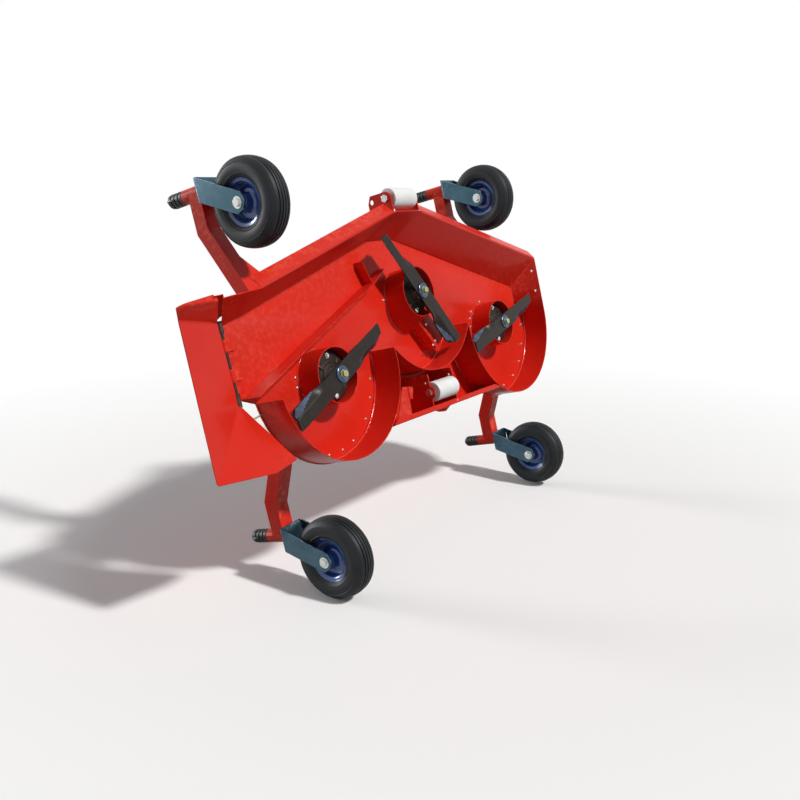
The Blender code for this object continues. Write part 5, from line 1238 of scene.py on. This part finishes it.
# %% [markdown]
# The gearbox's solid has only its main forms. A lid with its plug, three ribs on either side
# and the bolts make it read as a casting, and the same bolt, in other sizes, holds down the
# arms, the covers and the hitch brackets.

# %% Lid, ribs and bolts on the top side
FOOT_TOP = 0.1753
COVER_TOP = 0.2712
HITCH_FOOT_TOP = 0.1773
GEARBOX_TOP = 0.379
GEARBOX_Y = CENTRE_SPINDLE.y
LID_CORNERS = ((-0.050, -0.058), (0.050, -0.058), (0.050, 0.058), (-0.050, 0.058))
LID_TOP = GEARBOX_TOP + 0.004
GEARBOX_RIB = ((0.0640, 0.288), (0.0700, 0.296), (0.0700, 0.358), (0.0640, 0.366))
RIBS_Y = (-0.047, -0.002, 0.043)
RIB_THICK = 0.004
FOOT_BOLTS_X = (-0.669, -0.607, 0.607, 0.669)
FOOT_BOLTS_Y = (-0.180, -0.124, 0.012, 0.110)
COVER_BOLTS = ((0.500, 0.045), (0.500, -0.050), (0.140, -0.250), (0.140, 0.050))
HITCH_BOLTS = ((0.190, 0.145), (0.240, 0.145), (0.190, 0.200), (0.240, 0.200))
LID_BOLTS = ((0.042, -0.050), (0.042, 0.050))
INPUT_MOUTH = Vector((0.0, GEARBOX_Y + 0.097, 0.330))
INPUT_BOLT_RING = 0.0295


def gearbox_trim():
    """A lid with a filler plug, and three cast ribs on either side."""
    shape = bmesh.new()
    lid_foot = GEARBOX_TOP - 0.001
    lid = [(x, GEARBOX_Y + y, lid_foot) for x, y in LID_CORNERS]
    add_plate(shape, lid, LID_TOP - lid_foot)
    for side in (-1, 1):
        for y in RIBS_Y:
            rib = [(side * x, GEARBOX_Y + y, z) for x, z in GEARBOX_RIB]
            add_plate(shape, rib, RIB_THICK)
    piece = settle(shape, "gearbox_trim", body_of("gearbox"), GEARCASE, ())
    round_off(piece, 0.0012)


def top_bolts():
    shape = bmesh.new()
    for x in FOOT_BOLTS_X:
        for y in FOOT_BOLTS_Y:
            add_hex_bolt(shape, (x, y, FOOT_TOP), UP_WAY, 0.0050, 0.0057)
    for side in (-1, 1):
        for x, y in COVER_BOLTS:
            add_hex_bolt(shape, (side * x, y, COVER_TOP), UP_WAY, 0.0070, 0.0120)
        for x, y in HITCH_BOLTS:
            add_hex_bolt(shape, (side * x, y, HITCH_FOOT_TOP), UP_WAY, 0.0060, 0.0085)
        for x, y in LID_BOLTS:
            add_hex_bolt(shape, (side * x, GEARBOX_Y + y, LID_TOP), UP_WAY, 0.0045, 0.0060)
    add_hex_bolt(shape, (0.0, GEARBOX_Y, LID_TOP), UP_WAY, 0.0090, 0.0120)
    for degrees in (45, 135, 225, 315):
        x, z, _ = on_ring((0.0, 0.0), INPUT_BOLT_RING, degrees, 0.0)
        add_hex_bolt(shape, INPUT_MOUTH + Vector((x, 0, z)), (0, 1, 0), 0.0045, 0.0055)
    small_part(shape, "top_bolts", "deck")


gearbox_trim()
top_bolts()
print("top side: gearbox", round(GEARBOX_TOP - FOOT_TOP, 3), "m above the arms' feet")

# %% [markdown]
# ## The blades
# A mower blade is a flat bar. Towards each end, the side that runs ahead is ground to an edge,
# and the side that follows is bent up into a sail, which lifts the grass and makes the end look
# twisted. A grid whose points are moved gives the same smooth bend as the press does. The
# ground edge has a finish of its own, and the lower face of each sail carries a bluish painted
# reflection of the sky.

# %% Three blades
BLADE_LENGTH = 0.510
BLADE_WIDTH = 0.060
BLADE_THICK = 0.006
BLADE_BOTTOM = 0.062
BLADE_YAWS = {"right": -24.4, "centre": 54.2, "left": -14.1}
HALF_WIDTH = BLADE_WIDTH / 2
SLANT_ROOM = 0.018
SAIL_RISE = 0.018
SAIL_FROM = 0.008
EDGE_DROP = 0.0045
EDGE_FROM = 0.018
TIP_SLANT = 0.009
TIP_DRAWN_IN = 0.010
TIP_ROUNDED = 0.006
# Where each change starts and where it is complete, along the blade from its middle.
SAIL_GROWS = (0.085, 0.140)
SLANT_GROWS = (0.15, BLADE_LENGTH / 2)
TIP_ROUNDS = (0.215, 0.246)
# The ground edge starts this far along the blade and lies outside this line across it.
GROUND_FROM = 0.14
GROUND_LINE = 0.0185
LOOKS_UP = 0.3
# The painted reflection on a sail widens along the blade, from its rear edge inwards.
REFLECTION_FROM = 0.125
REFLECTION_RUN = 0.10
REFLECTION_EDGE = 0.029
REFLECTION_GROWTH = 0.019
REFLECTION_LIMIT = 0.010


def eased_share(value, low, high):
    share = min(max((value - low) / (high - low), 0.0), 1.0)
    return share * share * (3 - 2 * share)


def bend_blade(vert):
    """Lifts the sail, thins the ground edge and slants the tip."""
    along, across, level = vert.co
    side = math.copysign(1.0, along)
    behind = across * side
    rise = eased_share(abs(along), *SAIL_GROWS)
    vert.co.z = level + SAIL_RISE * rise * max(0.0, behind - SAIL_FROM) / (HALF_WIDTH - SAIL_FROM)
    if level > BLADE_THICK / 2:
        ground = max(-behind - EDGE_FROM, 0.0) / (HALF_WIDTH - EDGE_FROM)
        vert.co.z -= EDGE_DROP * rise * min(ground, 1.0)
    vert.co.x -= TIP_SLANT * across / HALF_WIDTH * eased_share(abs(along), *SLANT_GROWS)
    tip = eased_share(abs(along), *TIP_ROUNDS)
    vert.co.y -= side * TIP_DRAWN_IN * tip * tip * max(0.0, behind) / HALF_WIDTH
    vert.co.x -= side * TIP_ROUNDED * tip * (abs(across) / HALF_WIDTH) ** 4


def blade_face_finish(face):
    """A face's finish on a blade: 0 for its steel, 1 for the ground edge, 2 for the painted
    reflection on the sail.
    """
    middle_of_face = face.calc_center_median()
    along = abs(middle_of_face.x)
    behind = middle_of_face.y * math.copysign(1.0, middle_of_face.x)
    if face.normal.z > LOOKS_UP and along > GROUND_FROM and -behind > GROUND_LINE:
        return 1
    share = (along - REFLECTION_FROM) / REFLECTION_RUN
    inner = max(REFLECTION_LIMIT, REFLECTION_EDGE - REFLECTION_GROWTH * share)
    if face.normal.z < 0 and share > 0 and behind > inner:
        return 2
    return 0


def blade(side):
    shape = bmesh.new()
    size = Matrix.Diagonal((BLADE_LENGTH - SLANT_ROOM, BLADE_WIDTH, 1.0, 1.0))
    bmesh.ops.create_grid(shape, x_segments=60, y_segments=20, size=0.5, matrix=size)
    upper = new_verts(bmesh.ops.extrude_face_region(shape, geom=shape.faces[:]))
    bmesh.ops.translate(shape, verts=upper, vec=(0, 0, BLADE_THICK))
    for vert in shape.verts:
        bend_blade(vert)
    bmesh.ops.recalc_face_normals(shape, faces=shape.faces)
    for face in shape.faces:
        face.material_index = blade_face_finish(face)
    spot = Matrix.Translation(SPINDLES[side] + Vector((0, 0, BLADE_BOTTOM)))
    turn = Matrix.Rotation(math.radians(BLADE_YAWS[side]), 4, "Z")
    bmesh.ops.transform(shape, matrix=spot @ turn, verts=shape.verts)
    piece = stand_in(shape, "twisted_blade_" + side, "blade_" + side, BLADE_STEEL)
    for material in (GROUND_EDGE, SAIL_REFLECTION):
        piece.data.materials.append(material)
    round_off(piece, 0.0008)


for side in SPINDLES:
    blade(side)
print("blades:", len(SPINDLES), "of", BLADE_LENGTH, "m")

# %% [markdown]
# ## Wheels and rollers
# Whatever is round is spun from a profile. The tyre's profile has the rounded shoulders and
# the four grooves of a ribbed caster tyre, and the rim's has the rolled flange, the well and
# the pressed disc with its hub.

# %% Tyres
TYRE_RADIUS = 0.130
TREAD_HALF = 0.0265
CROWN = 0.004
GROOVE_DEPTH = 0.0042
EASE = 0.0004
RIBS = ((TREAD_HALF, 0.0180), (0.0136, 0.0076), (0.0032, None))
SIDE_WALL = [(0.0660, 0.0300), (0.0695, 0.0335), (0.0740, 0.0372), (0.0790, 0.0393)]
SIDE_WALL += [(0.0800, 0.0404), (0.0812, 0.0398), (0.0880, 0.0418), (0.0960, 0.0425)]
SIDE_WALL += [(0.1040, 0.0418), (0.1080, 0.0408), (0.1090, 0.0414), (0.1102, 0.0402)]
SIDE_WALL += [(0.1150, 0.0372), (0.1195, 0.0335), (0.1230, 0.0300)]
TREAD_EDGE = (TYRE_RADIUS - CROWN - 0.0016, 0.0282)
BEAD_SEAT = [(0.0600, -0.0285), (0.0600, 0.0285)]


def rib_edge(across):
    """The tread's radius at a rib's edge, and the edge's steps as (drop, distance outwards)."""
    crown = TYRE_RADIUS - CROWN * (across / TREAD_HALF) ** 2
    return crown, ((GROOVE_DEPTH, 0.0012), (EASE, EASE), (0.0, -EASE))


def tyre_half():
    """From the bead to the middle of the tread, as (radius, half width)."""
    tread = []
    for outer, inner in RIBS:
        crown, steps = rib_edge(outer)
        tread += [(crown - drop, outer + out) for drop, out in steps]
        if inner:
            crown, steps = rib_edge(inner)
            tread += [(crown - drop, inner - out) for drop, out in steps[::-1]]
    tread[0] = TREAD_EDGE
    return SIDE_WALL + tread


def tyre(corner):
    half = tyre_half()
    profile = half + [(radius, -across) for radius, across in half[::-1]]
    shape = spun(profile + BEAD_SEAT, WHEELS[corner], (1, 0, 0), 96, closed=True)
    stand_in(shape, "ribbed_tyre_" + corner, "tyre_" + corner, TYRE, 30.0)


for corner in CORNERS:
    tyre(corner)
print("tyres:", len(CORNERS), "of", 2 * TYRE_RADIUS, "m")

# %% [markdown]
# A rim is pressed from sheet and welded to a tube, the hub. Its section is drawn from the hub
# outwards for one side only, and the other side is the same list read backwards.

# %% Rims
HUB = [(0.0085, 0.0455), (0.0150, 0.0455), (0.0165, 0.0445), (0.0165, 0.0405), (0.0225, 0.0400)]
HUB += [(0.0240, 0.0385), (0.0240, 0.0150)]
DISC = [(0.0300, 0.0100), (0.0400, 0.0085), (0.0480, 0.0105), (0.0525, 0.0180), (0.0545, 0.0265)]
RIM_FLANGE = [(0.0590, 0.0300), (0.0650, 0.0315), (0.0680, 0.0335), (0.0690, 0.0325)]
RIM_FLANGE += [(0.0680, 0.0305), (0.0620, 0.0285), (0.0595, 0.0260)]


def rim(corner):
    """The pressed rim with its hub, its disc and its flanges, alike on both sides."""
    half = eased(HUB + DISC + RIM_FLANGE, 0.0012, 2)
    profile = half + [(radius, -across) for radius, across in half[::-1]]
    shape = spun(profile, WHEELS[corner], (1, 0, 0), 72, closed=True)
    stand_in(shape, "pressed_rim_" + corner, "wheel_rim_" + corner, RIM_BLUE, 40.0)


for corner in CORNERS:
    rim(corner)
print("rims:", len(CORNERS), "on hubs of", 2 * HUB[1][0], "m")

# %% [markdown]
# The two rollers keep the shell off a bump in the lawn. Each is a turned white block with
# generous corners, sized by the plain solid that it stands for.

# %% Anti-scalp rollers
ROLLER_BORE = 0.0086
ROLLER_EDGE = 0.010


def nylon_roller(node):
    low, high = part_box(node)
    half = (high.x - low.x) / 2
    radius = (high.z - low.z) / 2
    end = [(ROLLER_BORE, half), (radius - ROLLER_EDGE, half), (radius, half)]
    profile = eased(end + [(width, -across) for width, across in end[::-1]], 0.009, 6)
    shape = spun(profile, middle(node) - SHIFT, (1, 0, 0), closed=True)
    stand_in(shape, "nylon_" + node, node, NYLON)


nylon_roller("front_roller")
nylon_roller("rear_roller")
print("rollers:", 2, "on bores of", 2 * ROLLER_BORE, "m")

# %% [markdown]
# ## Floor, light and camera
# In the photograph the deck stands on end, on its two rear tyres, and leans back. The model
# keeps its working position, so here the floor is tilted instead: it touches the rear tyres
# from behind. Its reverse is see-through, so that the machine shows from the back too.

# %% The floor
UP = Vector((0.004, -0.963, -0.269)).normalized()
reach = max((WHEELS[corner] - UP * TYRE_RADIUS).dot(-UP) for corner in CORNERS)
floor_point = SHIFT - UP * (reach + 0.001)


def seen_rays(nodes, link):
    """1 for a ray that shows the background: straight to the camera, off metal or through glass."""
    path = nodes.new("ShaderNodeLightPath")
    some = nodes.new("ShaderNodeMath")
    some.operation = "MAXIMUM"
    every = nodes.new("ShaderNodeMath")
    every.operation = "MAXIMUM"
    link(path.outputs["Is Camera Ray"], some.inputs[0])
    link(path.outputs["Is Glossy Ray"], some.inputs[1])
    link(some.outputs["Value"], every.inputs[0])
    link(path.outputs["Is Transmission Ray"], every.inputs[1])
    return every.outputs["Value"]


def floor_material():
    material = bpy.data.materials.new("pale_floor")
    material.use_nodes = True
    nodes = material.node_tree.nodes
    link = material.node_tree.links.new
    shader = nodes["Principled BSDF"]
    preset(shader, Base_Color=(0.92, 0.92, 0.92, 1.0), Roughness=0.9)
    dim = nodes.new("ShaderNodeBsdfDiffuse")
    preset(dim, Color=(0.22, 0.22, 0.22, 1.0))
    bounce = nodes.new("ShaderNodeMixShader")
    clear = nodes.new("ShaderNodeBsdfTransparent")
    white = nodes.new("ShaderNodeEmission")
    geometry = nodes.new("ShaderNodeNewGeometry")
    place = nodes.new("ShaderNodeTexCoord")
    distance = nodes.new("ShaderNodeVectorMath")
    distance.operation = "LENGTH"
    fade = nodes.new("ShaderNodeMapRange")
    preset(fade, From_Min=1.2, From_Max=3.2)
    far = nodes.new("ShaderNodeMixShader")
    both = nodes.new("ShaderNodeMixShader")
    link(place.outputs["Object"], distance.inputs[0])
    link(distance.outputs["Value"], fade.inputs["Value"])
    link(fade.outputs["Result"], far.inputs["Fac"])
    link(shader.outputs["BSDF"], far.inputs[1])
    link(white.outputs["Emission"], far.inputs[2])
    link(seen_rays(nodes, link), bounce.inputs["Fac"])
    link(dim.outputs["BSDF"], bounce.inputs[1])
    link(far.outputs["Shader"], bounce.inputs[2])
    link(geometry.outputs["Backfacing"], both.inputs["Fac"])
    link(bounce.outputs["Shader"], both.inputs[1])
    link(clear.outputs["BSDF"], both.inputs[2])
    link(both.outputs["Shader"], nodes["Material Output"].inputs["Surface"])
    return material


def pale_floor():
    shape = bmesh.new()
    bmesh.ops.create_grid(shape, x_segments=1, y_segments=1, size=30.0)
    mesh = bpy.data.meshes.new("pale_floor")
    shape.to_mesh(mesh)
    shape.free()
    mesh.materials.append(floor_material())
    floor = bpy.data.objects.new("pale_floor", mesh)
    floor.matrix_world = Matrix.Translation(floor_point) @ tilt_to(UP)
    bpy.context.scene.collection.objects.link(floor)


pale_floor()
print("the deck leans back by", round(math.degrees(UP.angle(Vector((0, -1, 0)))), 1), "degrees")

# %% [markdown]
# An even glow from all round fills the shadows. Two suns give direction: the key shines at the
# underside, as the sun does in the photograph, and draws the lines along welds and cut edges.
# A softer one from above lights the top side, for a view from behind.

# %% The light
world = bpy.data.worlds.new("studio")
bpy.context.scene.world = world
world.use_nodes = True


def light_world(strength):
    """An even soft light from everywhere, and plain white where the camera sees past the floor."""
    nodes = world.node_tree.nodes
    link = world.node_tree.links.new
    soft = nodes["Background"]
    preset(soft, Color=(0.93, 0.96, 1.0, 1.0), Strength=strength)
    white = nodes.new("ShaderNodeBackground")
    preset(white, Color=(1.0, 1.0, 1.0, 1.0))
    choose = nodes.new("ShaderNodeMixShader")
    link(seen_rays(nodes, link), choose.inputs["Fac"])
    link(soft.outputs["Background"], choose.inputs[1])
    link(white.outputs["Background"], choose.inputs[2])
    link(choose.outputs["Shader"], nodes["World Output"].inputs["Surface"])


SUN_AWAY = 4.0


def sun(name, towards, energy, angle, colour):
    """A sun that shines from a direction; the wider its angle, the softer its shadows."""
    data = bpy.data.lights.new(name, "SUN")
    data.energy = energy
    data.color = colour
    data.angle = math.radians(angle)
    made = bpy.data.objects.new(name, data)
    way = Vector(towards).normalized()
    made.location = SHIFT + way * SUN_AWAY
    made.rotation_euler = way.to_track_quat("Z", "Y").to_euler()
    bpy.context.scene.collection.objects.link(made)


light_world(0.22)
sun("key", (0.10, -0.50, -0.85), 2.8, 5, (1.0, 0.98, 0.95))
sun("top", (-0.3, -0.4, 0.9), 1.9, 20, (1.0, 1.0, 1.0))
print("suns:", len(bpy.data.lights))

# %% [markdown]
# The camera stands where the photographer stood. Its place, its turn and its lens come from
# fitting points of the machine to the picture, so the two can be laid over each other.

# %% The camera
LENS = 38.899
LENS_SHIFT = (-0.10154, 0.04148)
CAMERA_AT = Vector((-2.47696, -0.10610, -1.72686)) + SHIFT
RIGHT = Vector((0.52322, 0.20202, -0.82791))
DOWN = Vector((-0.23236, 0.96851, 0.08949))


def photo_camera():
    data = bpy.data.cameras.new("photo_camera")
    data.lens = LENS
    data.shift_x, data.shift_y = LENS_SHIFT
    data.clip_end = 100.0
    camera = bpy.data.objects.new("photo_camera", data)
    right = RIGHT.normalized()
    up = (-DOWN - right * (-DOWN).dot(right)).normalized()
    back = right.cross(up)
    turn = Matrix((right, up, back)).transposed().to_4x4()
    camera.matrix_world = Matrix.Translation(CAMERA_AT) @ turn
    bpy.context.scene.collection.objects.link(camera)
    bpy.context.scene.camera = camera


photo_camera()
bpy.context.scene.view_settings.view_transform = "Standard"
print("camera:", LENS, "mm lens")
